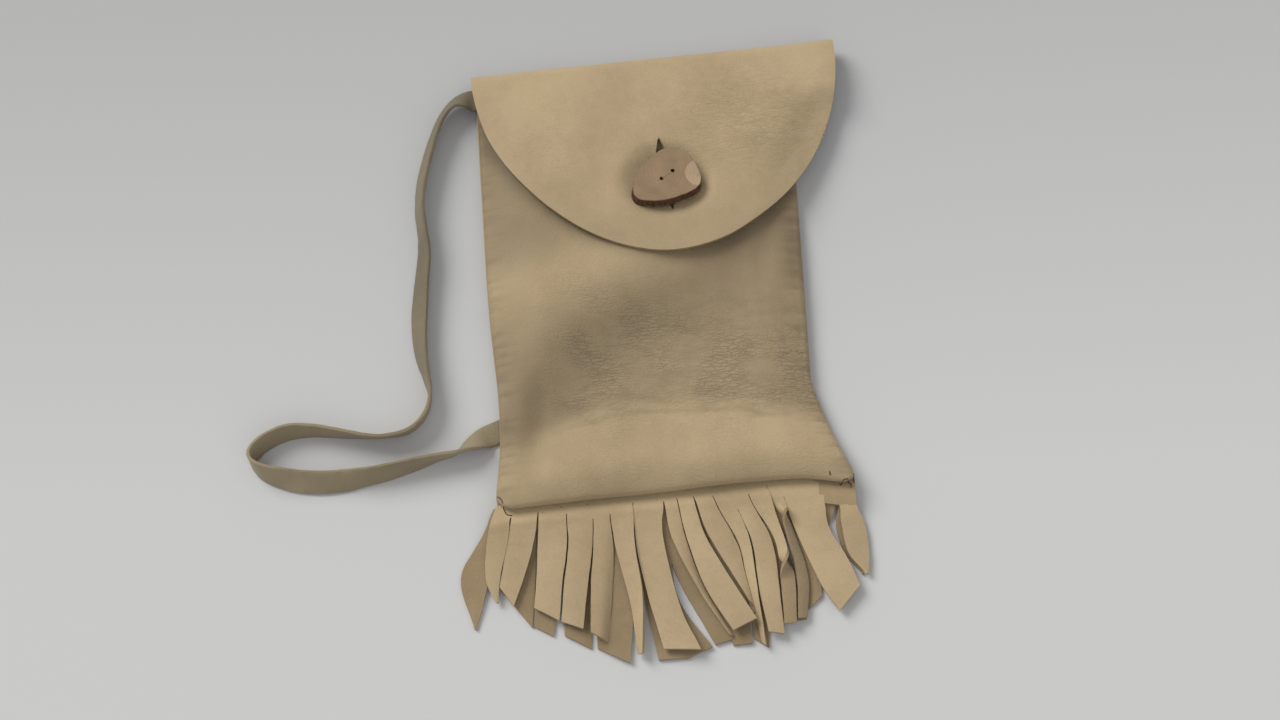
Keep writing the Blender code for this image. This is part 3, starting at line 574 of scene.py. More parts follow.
def flap_plan(u, v):
    """Points of the flap in plan. v is 0 at the fold."""
    turn = mix(math.pi / 2, FLAP_SIDE_ANGLE, v)
    foot = flap_edge(mix(-FLAP_SIDE_ANGLE, FLAP_SIDE_ANGLE, u))
    return patch(flap_edge(-turn), flap_edge(turn), fold_line(u), foot, u, v)


def flap_z(x, y):
    """Middle surface of the flap: on the front, and drooping past its sides."""
    left, right = x - left_x(y), right_x(y) - x
    reach = SIDE_EASE_IN + FLAP_EASE_OUT
    inside = smooth((left + FLAP_EASE_OUT) / reach) * smooth((right + FLAP_EASE_OUT) / reach)
    past = np.maximum(np.maximum(-left, -right), 0.0)
    return filled_z(x, y, inside, 1.0) + HIDE + FLAP_CLEARANCE - FLAP_DROOP * past


FLAP_OUTLINE = [tuple(spot / MM) for spot in flap_edge(np.linspace(-1.57, 1.57, 90))]


def flap_relief(x, y):
    """Creases of the flap and its raised edge: their height, and the depth of the creases."""
    from_edge = route_distance(x, y, FLAP_OUTLINE)
    away = np.hypot(x - BUTTON_SPOT.x, y - BUTTON_SPOT.y)
    swell = 0.0005 * waves(x, y, 0.030, 41.0) + 0.00014 * waves(x, y, 0.012, 42.0)
    right_patch = bell(np.hypot((x - 0.042) / 1.3, y - 0.100), 0.026)
    left_patch = 0.5 * bell(np.hypot((x + 0.044) / 1.3, y - 0.092), 0.014)
    lines = crease_lines(x, y + 0.1 * x, 0.0034, 43.0, 2.6, 0.20)
    lines = lines * (right_patch + left_patch)
    pebble = waves(x, y, 0.0021, 44.0, 1.5)
    rays = bell(away - 0.017, 0.006) * waves(x, y, 0.006, 45.0)
    wavy = bell(from_edge, 0.006) * waves(x, y, 0.016, 46.0)
    raised = 0.0008 * bell(from_edge, 0.0080)
    height = (
        swell
        - 0.00018 * lines
        + 0.00005 * pebble
        + 0.00030 * rays
        + 0.00045 * wavy
        + raised
    )
    # The second value is the mask for the painted shade in the creases
    return height, np.clip(0.25 * lines, 0, 1)


def flap_painted_light_tone_and_crackle(x, y):
    """How much paler or darker the flap is, with a painted highlight along the fold, and where its grain is
    crackled.
    """
    from_fold = fold_start_y(x) - y
    low = smooth((from_fold - 0.062) / 0.022)
    fold_highlight = bell(from_fold, 0.018)
    middle = bell(np.hypot((x + 0.012) / 1.6, y - 0.088), 0.022)
    right = smooth((x - 0.030) / 0.030)
    cloud = 0.05 * waves(x, y, 0.020, 63.0)
    # A painted highlight along the fold; the flap is also paler in the middle and darker towards its tip and
    # its right, with a random tone
    shade = 0.01 + 0.07 * fold_highlight + 0.07 * middle - 0.13 * low - 0.03 * right + cloud
    right_patch = bell(np.hypot((x - 0.042) / 1.3, y - 0.100), 0.028)
    left_patch = 0.6 * bell(np.hypot((x + 0.044) / 1.3, y - 0.092), 0.016)
    return shade, np.clip(0.5 * right_patch + 0.4 * left_patch + 0.06, 0, 1)


def put(tree, kind, sockets=None, **settings):
    """A shader node with these settings and socket values or links."""
    made = tree.nodes.new(f"ShaderNode{kind}")
    for name, value in settings.items():
        setattr(made, name, value)
    for name, value in (sockets or {}).items():
        if isinstance(value, bpy.types.NodeSocket):
            tree.links.new(value, made.inputs[name])
        else:
            made.inputs[name].default_value = value
    return made


def blend_colour(tree, share, a, b, how="MIX"):
    """A colour node that mixes a and b. Its numbered sockets are the colour ones."""
    made = put(tree, "Mix", data_type="RGBA", blend_type=how)
    for socket, value in ((made.inputs[0], share), (made.inputs[6], a), (made.inputs[7], b)):
        if isinstance(value, bpy.types.NodeSocket):
            tree.links.new(value, socket)
        else:
            socket.default_value = value if isinstance(value, float) else (*value, 1)
    return made.outputs[2]


def spread(tree, value, low, high, to_low=0.0, to_high=1.0):
    sockets = {"Value": value, 1: low, 2: high, 3: to_low, 4: to_high}
    return put(tree, "MapRange", sockets).outputs[0]


def new_finish(name, roughness, specular=0.3):
    finish = bpy.data.materials.new(name)
    finish.use_nodes = True
    shader = finish.node_tree.nodes["Principled BSDF"]
    shader.inputs["Roughness"].default_value = roughness
    shader.inputs["Specular IOR Level"].default_value = specular
    return finish, finish.node_tree, shader


def bumps(tree, shader, heights):
    """Stacks heights, each with its depth in metres, into the shader's normal."""
    normal = None
    for height, depth in heights:
        sockets = {"Height": height, "Distance": depth, "Strength": 1.0}
        if normal is not None:
            sockets["Normal"] = normal
        normal = put(tree, "Bump", sockets).outputs["Normal"]
    tree.links.new(normal, shader.inputs["Normal"])


def buckskin(name, pale, deep, grain, fuzz, roughness):
    """Soft leather: patches of tone, mottling, painted shade in its creases, painted light and shade from its
    shade attribute, and grain or suede fuzz.
    """
    finish, tree, shader = new_finish(name, roughness)
    place = put(tree, "TexCoord").outputs["Object"]
    patches = put(tree, "TexNoise", {"Vector": place, "Scale": 24.0, "Detail": 3.0})
    mottle = put(tree, "TexNoise", {"Vector": place, "Scale": 210.0, "Detail": 5.0})
    specks = put(tree, "TexNoise", {"Vector": place, "Scale": 1500.0, "Detail": 3.0})
    pores = put(tree, "TexVoronoi", {"Vector": place, "Scale": 1250.0, "Randomness": 1.0})
    drawn = put(tree, "Mapping", {"Vector": place, "Scale": (0.42, 1.0, 1.0)})
    lines = put(
        tree, "TexNoise", {"Vector": drawn.outputs[0], "Scale": 620.0, "Detail": 4.0}
    )
    tone = spread(tree, patches.outputs["Fac"], 0.36, 0.64)
    colour = blend_colour(tree, tone, deep, pale)
    soft = spread(tree, mottle.outputs["Fac"], 0.3, 0.7, 0.97, 1.03)
    speck = spread(tree, specks.outputs["Fac"], 0.3, 0.7, 0.95, 1.04)
    shade = put(tree, "Math", {0: soft, 1: speck}, operation="MULTIPLY").outputs[0]
    colour = blend_colour(tree, 1.0, colour, grey(tree, shade), "MULTIPLY")
    cracks = crackled(tree, place)
    crease = put(tree, "Attribute", attribute_name="crease").outputs["Fac"]
    painted_light_and_tone = put(tree, "Attribute", attribute_name="shade").outputs["Fac"]
    # Darker by the painted shade in creases, by the cracks of the grain, and by the painted light and shade of
    # the shade attribute
    for darker in (
        spread(tree, crease, 0.0, 1.0, 1.0, 0.55),
        spread(tree, cracks, 0.0, 1.0, 1.0, 0.90),
        spread(tree, painted_light_and_tone, -1.0, 1.0, 0.0, 2.0),
    ):
        colour = blend_colour(tree, 1.0, colour, grey(tree, darker), "MULTIPLY")
    tree.links.new(colour, shader.inputs["Base Color"])
    rough = spread(tree, mottle.outputs["Fac"], 0.3, 0.7, roughness - 0.06, roughness + 0.06)
    tree.links.new(rough, shader.inputs["Roughness"])
    shader.inputs["Sheen Weight"].default_value = fuzz
    shader.inputs["Sheen Roughness"].default_value = 0.5
    heights = (
        (lines.outputs["Fac"], grain * 1.6),
        (pores.outputs["Distance"], grain),
        (specks.outputs["Fac"], grain * 0.8),
        (spread(tree, cracks, 0.0, 1.0, 1.0, 0.0), CRACKLE_DEPTH),
    )
    bumps(tree, shader, heights)
    return finish


CRACKLE_DEPTH = 0.00018


def crackled(tree, place):
    """1 along fine cracks drawn out across the leather, where the crackle attribute allows."""
    wander = put(tree, "TexNoise", {"Vector": place, "Scale": 300.0, "Detail": 3.0})
    small = {0: wander.outputs["Color"], 1: (0.0024, 0.0024, 0.0)}
    moved = put(tree, "VectorMath", small, operation="MULTIPLY").outputs[0]
    warped = put(tree, "VectorMath", {0: place, 1: moved}, operation="ADD").outputs[0]
    drawn = put(tree, "Mapping", {"Vector": warped, "Scale": (0.26, 1.0, 0.2)}).outputs[0]
    cells = put(
        tree, "TexVoronoi", {"Vector": drawn, "Scale": 800.0}, feature="DISTANCE_TO_EDGE"
    )
    line = spread(tree, cells.outputs["Distance"], 0.0, 0.13, 1.0, 0.0)
    mask = put(tree, "Attribute", attribute_name="crackle").outputs["Fac"]
    return put(tree, "Math", {0: line, 1: mask}, operation="MULTIPLY").outputs[0]


def grey(tree, value):
    """A number as a grey colour."""
    return put(tree, "CombineColor", {0: value, 1: value, 2: value}).outputs[0]


def object_from(bm, name, finishes):
    """An object from a bmesh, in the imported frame."""
    bmesh.ops.translate(bm, verts=bm.verts, vec=-MIDDLE)
    mesh = bpy.data.meshes.new(name)
    bm.to_mesh(mesh)
    bm.free()
    for finish in finishes:
        mesh.materials.append(finish)
    made = bpy.data.objects.new(name, mesh)
    bpy.context.scene.collection.objects.link(made)
    return made


def settle(piece, crisp=math.radians(55)):
    """Makes the modifiers of a piece its mesh, smooth but for its crisp edges."""
    graph = bpy.context.evaluated_depsgraph_get()
    mesh = bpy.data.meshes.new_from_object(piece.evaluated_get(graph))
    piece.modifiers.clear()
    piece.data = mesh
    mesh.shade_smooth()
    mesh.set_sharp_from_angle(angle=crisp)
    return piece


def thicken(piece, thickness=HIDE):
    """Leather of one thickness: grain above, flesh below and a cut edge all round."""
    solid = piece.modifiers.new("hide", "SOLIDIFY")
    solid.thickness = thickness
    solid.offset = 0
    solid.material_offset = 1
    solid.material_offset_rim = 2
    return settle(piece)


def grid_sheet(spots, depth, shade, crackle):
    """A bmesh grid at these places by row and column, and its vertices by column and row."""
    rows, columns = spots.shape[0] - 1, spots.shape[1] - 1
    bm = bmesh.new()
    bmesh.ops.create_grid(bm, x_segments=columns, y_segments=rows, size=1)
    layers = [bm.verts.layers.float.new(name) for name in ("crease", "shade", "crackle")]
    at = {}
    for vert in bm.verts:
        column = round((vert.co.x + 1) / 2 * columns)
        row = round((vert.co.y + 1) / 2 * rows)
        at[column, row] = vert
        vert.co = spots[row, column]
        for layer, values in zip(layers, (depth, shade, crackle)):
            vert[layer] = values[row, column]
    return bm, at


def extrude_chain(bm, chain):
    """Extrudes the edges along a chain of vertices and gives the new chain."""
    edges = [bm.edges.get(pair) for pair in zip(chain, chain[1:])]
    made = bmesh.ops.extrude_edge_only(bm, edges=edges)["geom"]
    fresh = {item for item in made if isinstance(item, bmesh.types.BMVert)}
    follow = []
    for vert in chain:
        ends = [edge.other_vert(vert) for edge in vert.link_edges]
        follow.append(next(end for end in ends if end in fresh))
    return follow


def outward(chain):
    """Level directions away from the panel at each vertex of its edge chain."""
    ways = []
    for place in range(len(chain)):
        before = chain[max(place - 1, 0)].co
        after = chain[min(place + 1, len(chain) - 1)].co
        along = after - before
        ways.append(Vector((along.y, -along.x, 0)).normalized())
    return ways


def roll_edges(bm, at, columns, rows, turn, bulge=1.0):
    """Rolls the sides and foot of a panel under it (turn -1) or over it (turn 1).

    bulge is how far the roll stands out, 1 for a half round.

    The straight stretches then run on inwards as seam allowances.
    """
    down = [at[0, row] for row in range(rows, 0, -1)]
    across = [at[column, 0] for column in range(columns + 1)]
    up = [at[columns, row] for row in range(1, rows + 1)]
    chain = down + across + up
    ways = outward(chain)
    starts = [vert.co.copy() for vert in chain]
    crease = bm.verts.layers.float["crease"]
    for step in range(1, ROLL_STEPS + 1):
        angle = math.pi * step / ROLL_STEPS
        chain = extrude_chain(bm, chain)
        for vert, start, way in zip(chain, starts, ways):
            rise = turn * ROLL * (1 - math.cos(angle))
            vert.co = start + way * ROLL * bulge * math.sin(angle) + Vector((0, 0, rise))
            # Painted shadow on the last steps of the roll
            if step > PAINTED_SHADOW_ROLL_STEP:
                vert[crease] = 1.0
    corners = starts[len(down)], starts[len(down) + columns]
    stretches = [[], [], []]
    for place, (vert, start, way) in enumerate(zip(chain, starts, ways)):
        if min((start - corner).length for corner in corners) < ALLOWANCE_CLEAR_OF_CORNER:
            continue
        side = 0 if place < len(down) else (1 if place <= len(down) + columns else 2)
        stretches[side].append((vert, way))
    for stretch in stretches:
        inner = extrude_chain(bm, [vert for vert, way in stretch])
        for vert, (root, way) in zip(inner, stretch):
            vert.co = root.co - way * ALLOWANCE


def face_up(bm, face, up=True):
    """One side for the whole sheet: this face's side looks up, or down."""
    bmesh.ops.recalc_face_normals(bm, faces=bm.faces)
    face.normal_update()
    if (face.normal.z > 0) != up:
        bmesh.ops.reverse_faces(bm, faces=bm.faces)


FRONT_COLUMNS = 164
FRONT_ROWS = 196
BACK_COLUMNS = 150
BACK_ROWS = 56
FOLD_ROWS = 16
FLAP_ROWS = 96


def front_panel(finishes):
    """The front, open at its mouth, with its three seamed edges rolled under."""
    u = np.linspace(0, 1, FRONT_COLUMNS + 1)
    v = np.linspace(0, 1, FRONT_ROWS + 1) ** 1.25
    plan = body_plan(u, v, mouth_y)
    x, y = plan[..., 0], plan[..., 1]
    height, depth = front_relief(x, y)
    under_flap = 1 - smooth((y - 0.040 - 9 * (x - 0.005) ** 2) / 0.02)
    z = front_z(x, y) + height * mix(0.35, 1, under_flap)
    bm, at = grid_sheet(np.stack((x, y, z), axis=-1), depth, *front_painted_light_tone_and_crackle(x, y))
    middle = at[FRONT_COLUMNS // 2, FRONT_ROWS // 2].link_faces[0]
    roll_edges(bm, at, FRONT_COLUMNS, FRONT_ROWS, -1, FRONT_ROLL_BULGE)
    face_up(bm, middle)
    return thicken(object_from(bm, "front", finishes))


def back_and_flap(finishes):
    """The back, folded over at the top into the flap: one piece of leather."""
    u = np.linspace(0, 1, BACK_COLUMNS + 1)
    back = body_plan(u, np.linspace(0, 1, BACK_ROWS), mouth_y)
    back_top = back_z(back[..., 0], back[..., 1])
    fold = fold_line(u)
    x, y = fold[:, 0], fold[:, 1]
    low, high = back_z(x, y), flap_z(x, y)
    fold_wave = 0.0004 * waves(x, y, 0.018, 51.0)
    turned = []
    for step in range(FOLD_ROWS + 1):
        angle = math.pi * step / FOLD_ROWS
        z = mix(low, high, (1 - math.cos(angle)) / 2)
        out = (FOLD_DEPTH + fold_wave) * math.sin(angle)
        turned.append(np.stack((x, y + out, z), axis=-1))
    flap = flap_plan(u, np.linspace(0, 1, FLAP_ROWS + 1)[1:])
    flap, slit = slit_room(flap)
    x, y = flap[..., 0], flap[..., 1]
    height, depth = flap_relief(x, y)
    from_fold = smooth((fold_start_y(x) - y) / 0.010)
    z = flap_z(x, y) + height * from_fold + slit_lip(x, y)
    spots = np.concatenate(
        (
            np.concatenate((back, back_top[..., None]), axis=-1),
            np.array(turned),
            np.stack((x, y, z), axis=-1),
        )
    )
    depths = np.zeros(spots.shape[:2])
    depths[-FLAP_ROWS:] = depth * from_fold
    bm, at = grid_sheet(spots, depths, *flap_painted_light_tone_and_crackle(spots[..., 0], spots[..., 1]))
    first_flap_row = BACK_ROWS + FOLD_ROWS + 1
    flap_face = at[2, first_flap_row + FLAP_ROWS // 2].link_faces[0]
    column, rows = slit
    chain = [at[column, first_flap_row + row] for row in rows]
    edges = [bm.edges.get(pair) for pair in zip(chain, chain[1:])]
    parted = bmesh.ops.split_edges(bm, edges=edges)["edges"]
    lips = {vert for edge in parted for vert in edge.verts} | set(chain)
    across = Vector((math.cos(SLIT_TURN), math.sin(SLIT_TURN), 0))
    for vert in lips:
        reach = (vert.co - SLIT_MIDDLE.to_3d()).dot(SLIT_ALONG.to_3d())
        centre = sum((face.calc_center_median() for face in vert.link_faces), Vector())
        way = 1 if (centre / len(vert.link_faces) - vert.co).dot(across) > 0 else -1
        vert.co += across * way * slit_gape(reach)
    roll_edges(bm, at, BACK_COLUMNS, BACK_ROWS - 1, 1)
    face_up(bm, flap_face)
    return thicken(object_from(bm, "back_with_flap", finishes))


SLIT_ALONG = Vector((-math.sin(SLIT_TURN), math.cos(SLIT_TURN)))
SLIT_MIDDLE = BUTTON_SPOT + SLIT_ALONG * SLIT_ABOVE_BUTTON
SLIT_SPREAD = 0.012


def slit_gape(along):
    """Half the width of the slit, by the distance along it from its middle."""
    return SLIT_WIDTH / 2 * np.clip(1 - (along / SLIT_HALF) ** 2, 0, None) ** SLIT_TAPER


def slit_frame(x, y):
    """Distances along and across the slit from its middle."""
    x, y = x - SLIT_MIDDLE.x, y - SLIT_MIDDLE.y
    along = x * SLIT_ALONG.x + y * SLIT_ALONG.y
    return along, x * SLIT_ALONG.y - y * SLIT_ALONG.x


def slit_room(flap):
    """Bends the flap's columns to the slit and makes room for it.

    Gives the flap, and the column and the rows along which it is to be parted.
    """
    along, across = slit_frame(flap[..., 0], flap[..., 1])
    middle_row = int(np.argmin(abs(along[:, flap.shape[1] // 2])))
    column = int(np.argmin(abs(across[middle_row])))
    line = across[:, column : column + 1]
    window = 1 - smooth((abs(along) - SLIT_HALF) / SLIT_SPREAD)
    shift = -line * window * (1 - smooth(abs(across - line) / SLIT_SPREAD))
    settled = across + shift
    past = np.arange(flap.shape[1]) - column
    gape = slit_gape(along) * np.sign(past) * (1 - smooth(abs(settled) / SLIT_SPREAD))
    moved = shift + gape
    ways = np.array((SLIT_ALONG.y, -SLIT_ALONG.x))
    rows = [int(row) for row in np.flatnonzero(abs(along[:, column]) < SLIT_HALF)]
    return flap + moved[..., None] * ways, (column, rows)


def slit_lip(x, y):
    """The lips of the slit stand up a little above the button, the left one more."""
    along, across = slit_frame(x, y)
    left = 0.0007 * bell(across + 0.0012, 0.0022) * (across < 0.0005)
    right = 0.0003 * bell(across - 0.0012, 0.0020) * (across > 0)
    return (left + right) * bell(along - 0.012, 0.006)


STRAND_ACROSS = 8
STRAND_STEPS = 14
BAND_STEPS = 5
CUP = 0.00022
PARTED_X = 0.0600
PARTED_LEAN = 0.4
# How each strand lies: the lift of its middle line at the upper third, the lower third and
# the tip, how far its right edge is above its middle line there, and how far its right part
# curls down, or its left part where it is negative, all in millimetres.
FRONT_LIES = (
    ((0.5, 0.7, 0.3), (0.5, 0.6, 0.0), 0.0),
    ((1.0, 1.3, 1.2), (0.1, 0.2, 0.2), 0.0),
    ((0.7, 1.2, 1.4), (0.2, 0.2, 0.2), 0.0),
    ((0.6, 1.3, 1.9), (-0.3, 0.0, 0.3), 0.0),
    ((1.0, 1.8, 2.3), (-0.4, -0.6, -0.8), 2.2),
    ((1.2, 1.8, 1.9), (1.0, 1.6, 1.8), 0.0),
    ((1.1, 2.0, 2.6), (0.4, 0.4, 0.3), 0.0),
    ((0.4, 0.4, 0.3), (-0.5, -0.5, -0.4), 0.0),
    ((1.6, 3.0, 3.2), (0.3, 0.4, 0.4), 0.0),
    ((1.0, 1.2, 1.0), (-0.9, -0.7, -0.4), 0.0),
    ((0.9, 0.9, 0.8), (0.8, 0.9, 0.8), 0.0),
    ((1.5, 2.0, 2.0), (-0.5, -0.4, -0.4), 0.0),
    ((1.4, 2.2, 2.2), (0.6, 0.0, 0.3), 0.0),
    ((1.2, 1.6, 1.2), (1.3, 1.0, 0.8), 0.0),
    ((1.3, 1.9, 1.7), (0.2, 0.2, 0.2), 0.0),
    ((0.5, 0.5, 0.2), (-0.3, -0.4, 0.0), 0.0),
)
BACK_LIES = (
    ((0.2, 0.4, 0.1), (0.4, 0.7, 0.0), 0.0),
    ((0.1, 0.2, 0.2), (0.0, 0.0, 0.0), 0.0),
    ((0.1, 0.2, 0.3), (0.0, 0.1, 0.2), 0.0),
    ((0.1, 0.2, 0.4), (0.0, 0.0, -0.2), 0.0),
    ((0.1, 0.4, 0.7), (0.1, 0.3, 0.5), 0.0),
    ((0.1, 0.3, 0.5), (0.0, 0.0, 0.0), 0.0),
    ((0.1, 0.3, 0.5), (0.0, 0.1, 0.2), 0.0),
    ((0.0, 0.1, 0.2), (0.0, -0.1, -0.2), 0.0),
    ((0.1, 0.2, 0.4), (0.0, 0.2, 0.3), 0.0),
    ((0.0, 0.1, 0.2), (0.0, 0.0, 0.0), 0.0),
    ((0.1, 0.2, 0.3), (0.0, 0.1, 0.2), 0.0),
    ((0.0, 0.2, 0.4), (0.0, 0.1, 0.2), 0.0),
    ((0.1, 0.2, 0.1), (0.0, 0.1, 0.0), 0.0),
)
# The front strands that turn over, and the stretch of each that turns
TURNED = {12: (0.40, 0.66), 13: (0.12, 0.36)}
# Painted light on the strip by the seam, where the roll shades it; painted light on the front strands and
# painted shade on the back strands beneath them, by layer; and how much darker the turned strands are
STRIP_PAINTED_LIGHT = 0.18
FRINGE_SHADE = (-0.08, 0.05)
TURNED_SHADE = -0.06


def strip_z(x, y, layer):
    below = seam_y(x) - y
    full = layer * STRIP_PUFF * math.exp(-(((below - STRIP_PUFF_AT) / STRIP_PUFF_WIDTH) ** 2))
    return HIDE / 2 + layer * LAYER + 2 * LAYER * (1 - smooth(below / FALL_REACH)) + full


def strand_edges(strand, roots):
    """The left and right edge of a strand, from its root to its tip."""
    edges = []
    for side, root in enumerate(roots):
        spots = [Vector(pair[2 * side : 2 * side + 2]) * MM for pair in strand[1:]]
        edges.append(smooth_curve([root, *spots], STRAND_STEPS))
    return edges


def strand(bm, group, outline, lie, layer, seed, turn):
    """One strand, carried down from its root vertices between its two cut edges."""
    crease, shade = (bm.verts.layers.float[key] for key in ("crease", "shade"))
    roots = [vert.co.xy for vert in group]
    lifts = smooth_curve([0.0, *lie[0]], STRAND_STEPS)
    tilts = smooth_curve([0.0, *lie[1]], STRAND_STEPS)
    left_edge, right_edge = strand_edges(outline, (roots[0], roots[-1]))
    pointed = (right_edge[-1] - left_edge[-1]).length < MM
    layer_shade = 0.0 if pointed else FRINGE_SHADE[layer]
    row = group
    rows = list(zip(left_edge, right_edge, lifts, tilts))
    for step, (left, right, lift, tilt) in enumerate(rows[1:], 1):
        share = step / (len(rows) - 1)
        row = extrude_chain(bm, row)
        centre, half = (left + right) / 2, (right - left) / 2
        eased = float(smooth(share * 5))
        over = math.pi * smooth((share - turn[0]) / (turn[1] - turn[0])) if turn else 0.0
        ragged = 0.00009 * eased * noise.noise((share * 11, seed, 4.0))
        shift = 0.00016 * eased * noise.noise((share * 6, seed, 9.0))
        drawn = (centre - (roots[0] + roots[-1]) / 2)
        for across, vert in enumerate(row):
            side = 2 * across / STRAND_ACROSS - 1
            spot = centre + half * side * math.cos(over)
            spot.x += ragged * side + shift
            spot = (roots[across] + drawn).lerp(spot, eased)
            curl = lie[2] * MM * share * max(side * math.copysign(1, lie[2]), 0.0) ** 2
            z = strip_z(spot.x, spot.y, layer) + (lift + side * tilt) * MM
            z += eased * (half.length * (side * math.sin(over) + abs(math.sin(over))))
            z -= CUP * side * side * eased + abs(curl)
            z += 0.00030 * eased * noise.noise((spot.x * 70, spot.y * 55, seed))
            vert.co = (spot.x, spot.y, max(z, HIDE / 2))
            # Painted shade along fine crease lines of the strand
            line = noise.noise((side * 0.7, share * 24, seed + 2))
            vert[crease] = 0.12 * max(0.0, 1 - abs(line) / 0.10) * (1 - pointed)
            # Painted light and shade by layer, and painted light near the seam where the roll shades the strip
            vert[shade] = layer_shade + STRIP_PAINTED_LIGHT * max(0.0, 1 - 4 * share)
            if over > math.pi / 2:
                vert[shade] = TURNED_SHADE


def fringe(name, strands, slits, lies, layer, finishes):
    """A strip caught in the bottom seam, its strands lying down as they fell."""
    bm = bmesh.new()
    bm.verts.layers.float.new("crease")
    shade = bm.verts.layers.float.new("shade")
    tops = (EDGE_OF_STRIP, *slits, CORNER_OF_STRIP)
    chain, groups = [], []
    for place, (root, *lower) in enumerate(strands):
        left, right = root[0] * MM + SLIT_GAP / 2, root[1] * MM - SLIT_GAP / 2
        group = []
        for step in range(STRAND_ACROSS + 1):
            share = step / STRAND_ACROSS
            x = mix(left, right, share)
            y = seam_y(x) - mix(tops[place], tops[place + 1], share) * MM
            group.append(bm.verts.new((x, y, strip_z(x, y, layer))))
            # Painted light and shade by layer, and painted light by the seam where the roll shades the strip
            group[-1][shade] = FRINGE_SHADE[layer] + STRIP_PAINTED_LIGHT
        chain += group
        groups.append(group)
    for pair in zip(chain, chain[1:]):
        bm.edges.new(pair)
    starts = [vert.co.copy() for vert in chain]
    inner_left, inner_right = LEFT_FOOT + BAND_INSET, RIGHT_WAIST + FOOT_FLARE - BAND_INSET
    band = chain
    for step in range(1, BAND_STEPS + 1):
        share = step / BAND_STEPS
        band = extrude_chain(bm, band)
        for vert, start in zip(band, starts):
            x = mix(start.x, min(max(start.x, inner_left), inner_right), min(2 * share, 1))
            y = mix(start.y, seam_y(x) + ALLOWANCE, share)
            vert.co = (x, y, strip_z(x, y, layer))
    for place, (outline, group, lie) in enumerate(zip(strands, groups, lies)):
        turn = TURNED.get(place) if layer == 1 else None
        strand(bm, group, outline, lie, layer, 13.7 * place + 3.1 * layer, turn)
    bm.faces.ensure_lookup_table()
    face_up(bm, bm.faces[0])
    if layer == 1:
        for face in bm.faces:
            centre = face.calc_center_median()
            below = seam_y(centre.x) - centre.y
            if centre.x > PARTED_X + PARTED_LEAN * below and below < CORNER_OF_STRIP * MM + MM:
                face.material_index = 3
    return thicken(object_from(bm, name, finishes))


def smooth_route(points, steps):
    """Evenly spaced samples of a smooth curve through the route's points."""
    fine = smooth_curve([Vector(point) for point in points], ROUTE_STEPS)
    run = [0.0]
    for a, b in zip(fine, fine[1:]):
        run.append(run[-1] + (b.xyz - a.xyz).length)
    samples, place = [], 0
    for step in range(steps + 1):
        want = run[-1] * step / steps
        while place < len(run) - 2 and run[place + 1] < want:
            place += 1
        span = run[place + 1] - run[place]
        samples.append(fine[place].lerp(fine[place + 1], (want - run[place]) / span))
    return samples


STRAP_STEPS = 420
ROUTE_STEPS = 16
UPRIGHT_RUN = 0.2
# How much darker the strap is beside the pouch, and how much paler its loop
STRAP_SHADE = (-0.22, 0.25)
STRAP_SECTION = (
    (-1.0, 0.0),
    (-0.985, -0.7),
    (-0.93, -1.0),
    (-0.5, -1.0),
    (0.0, -1.0),
    (0.5, -1.0),
    (0.93, -1.0),
    (0.985, -0.7),
    (1.0, 0.0),
    (0.985, 0.7),
    (0.93, 1.0),
    (0.5, 1.0),
    (0.0, 1.0),
    (-0.5, 1.0),
    (-0.93, 1.0),
    (-0.985, 0.7),
)


def strap(finishes):
    """The thong strap, hand-cut to an uneven width, and the line along its middle."""
    samples = smooth_route(STRAP_ROUTE, STRAP_STEPS)
    half_width, half_thick = STRAP_WIDTH / 2, THONG / 2
    bm = bmesh.new()
    shade = bm.verts.layers.float.new("shade")
    side = Vector((0, -1, 0))
    ring = None
    path = []
    for place, sample in enumerate(samples):
        before = samples[max(place - 1, 0)].xyz
        after = samples[min(place + 1, len(samples) - 1)].xyz
        along = (after - before).normalized()
        level = Vector((0, 0, 1)).cross(along)
        if level.length > UPRIGHT_RUN:
            level.normalize()
            side = level if level.dot(side) > 0 else -level
        upright = side.cross(along)
        if upright.z < -UPRIGHT_RUN:
            upright = -upright
        lean = math.radians(sample.w)
        wide = (side * math.cos(lean) + upright.normalized() * math.sin(lean)).normalized()
        thick = along.cross(wide)
        spot = sample.xyz * MM
        spot.z += half_width * abs(math.sin(lean)) + half_thick * abs(math.cos(lean))
        path.append(tuple(spot - MIDDLE))
        run = place / STRAP_STEPS * 60
        width = half_width * (1 + 0.035 * noise.noise((run, 1.5, 0.0)))
        corners = []
        for across, deep in STRAP_SECTION:
            rag = 0.00012 * noise.noise((run * 3, across, deep))
            corners.append(spot + wide * across * width + thick * (deep * half_thick + rag))
        pale = mix(*STRAP_SHADE, float(smooth((-0.015 - spot.y) / 0.02)))
        if ring is None:
            ring = [bm.verts.new(corner) for corner in corners]
            for vert in ring:
                vert[shade] = pale
            bm.faces.new(ring)
            closed = ring + ring[:1]
            continue
        edges = [bm.edges.get(pair) for pair in zip(closed, closed[1:])]
        made = bmesh.ops.extrude_edge_only(bm, edges=edges)["geom"]
        fresh = {item for item in made if isinstance(item, bmesh.types.BMVert)}
        follow = []
        for vert, corner in zip(ring, corners):
            ends = [edge.other_vert(vert) for edge in vert.link_edges]
            end = next(end for end in ends if end in fresh)
            end.co = corner
            end[shade] = pale
            follow.append(end)
        ring = follow
        closed = ring + ring[:1]
    bm.faces.new(reversed(ring))
    bmesh.ops.recalc_face_normals(bm, faces=bm.faces)
    return settle(object_from(bm, "thong_strap", finishes), math.radians(40)), path


def button_points(steps):
    """Points round the button about its middle, with so many steps to each stretch."""
    outline = [Vector(spot) * MM for spot in BUTTON_OUTLINE]
    around = [outline[-1], *outline, *outline[:2]]
    spots = []
    for four in zip(around, around[1:], around[2:], around[3:]):
        spots += [between(*four, step / steps) for step in range(steps)]
    return spots


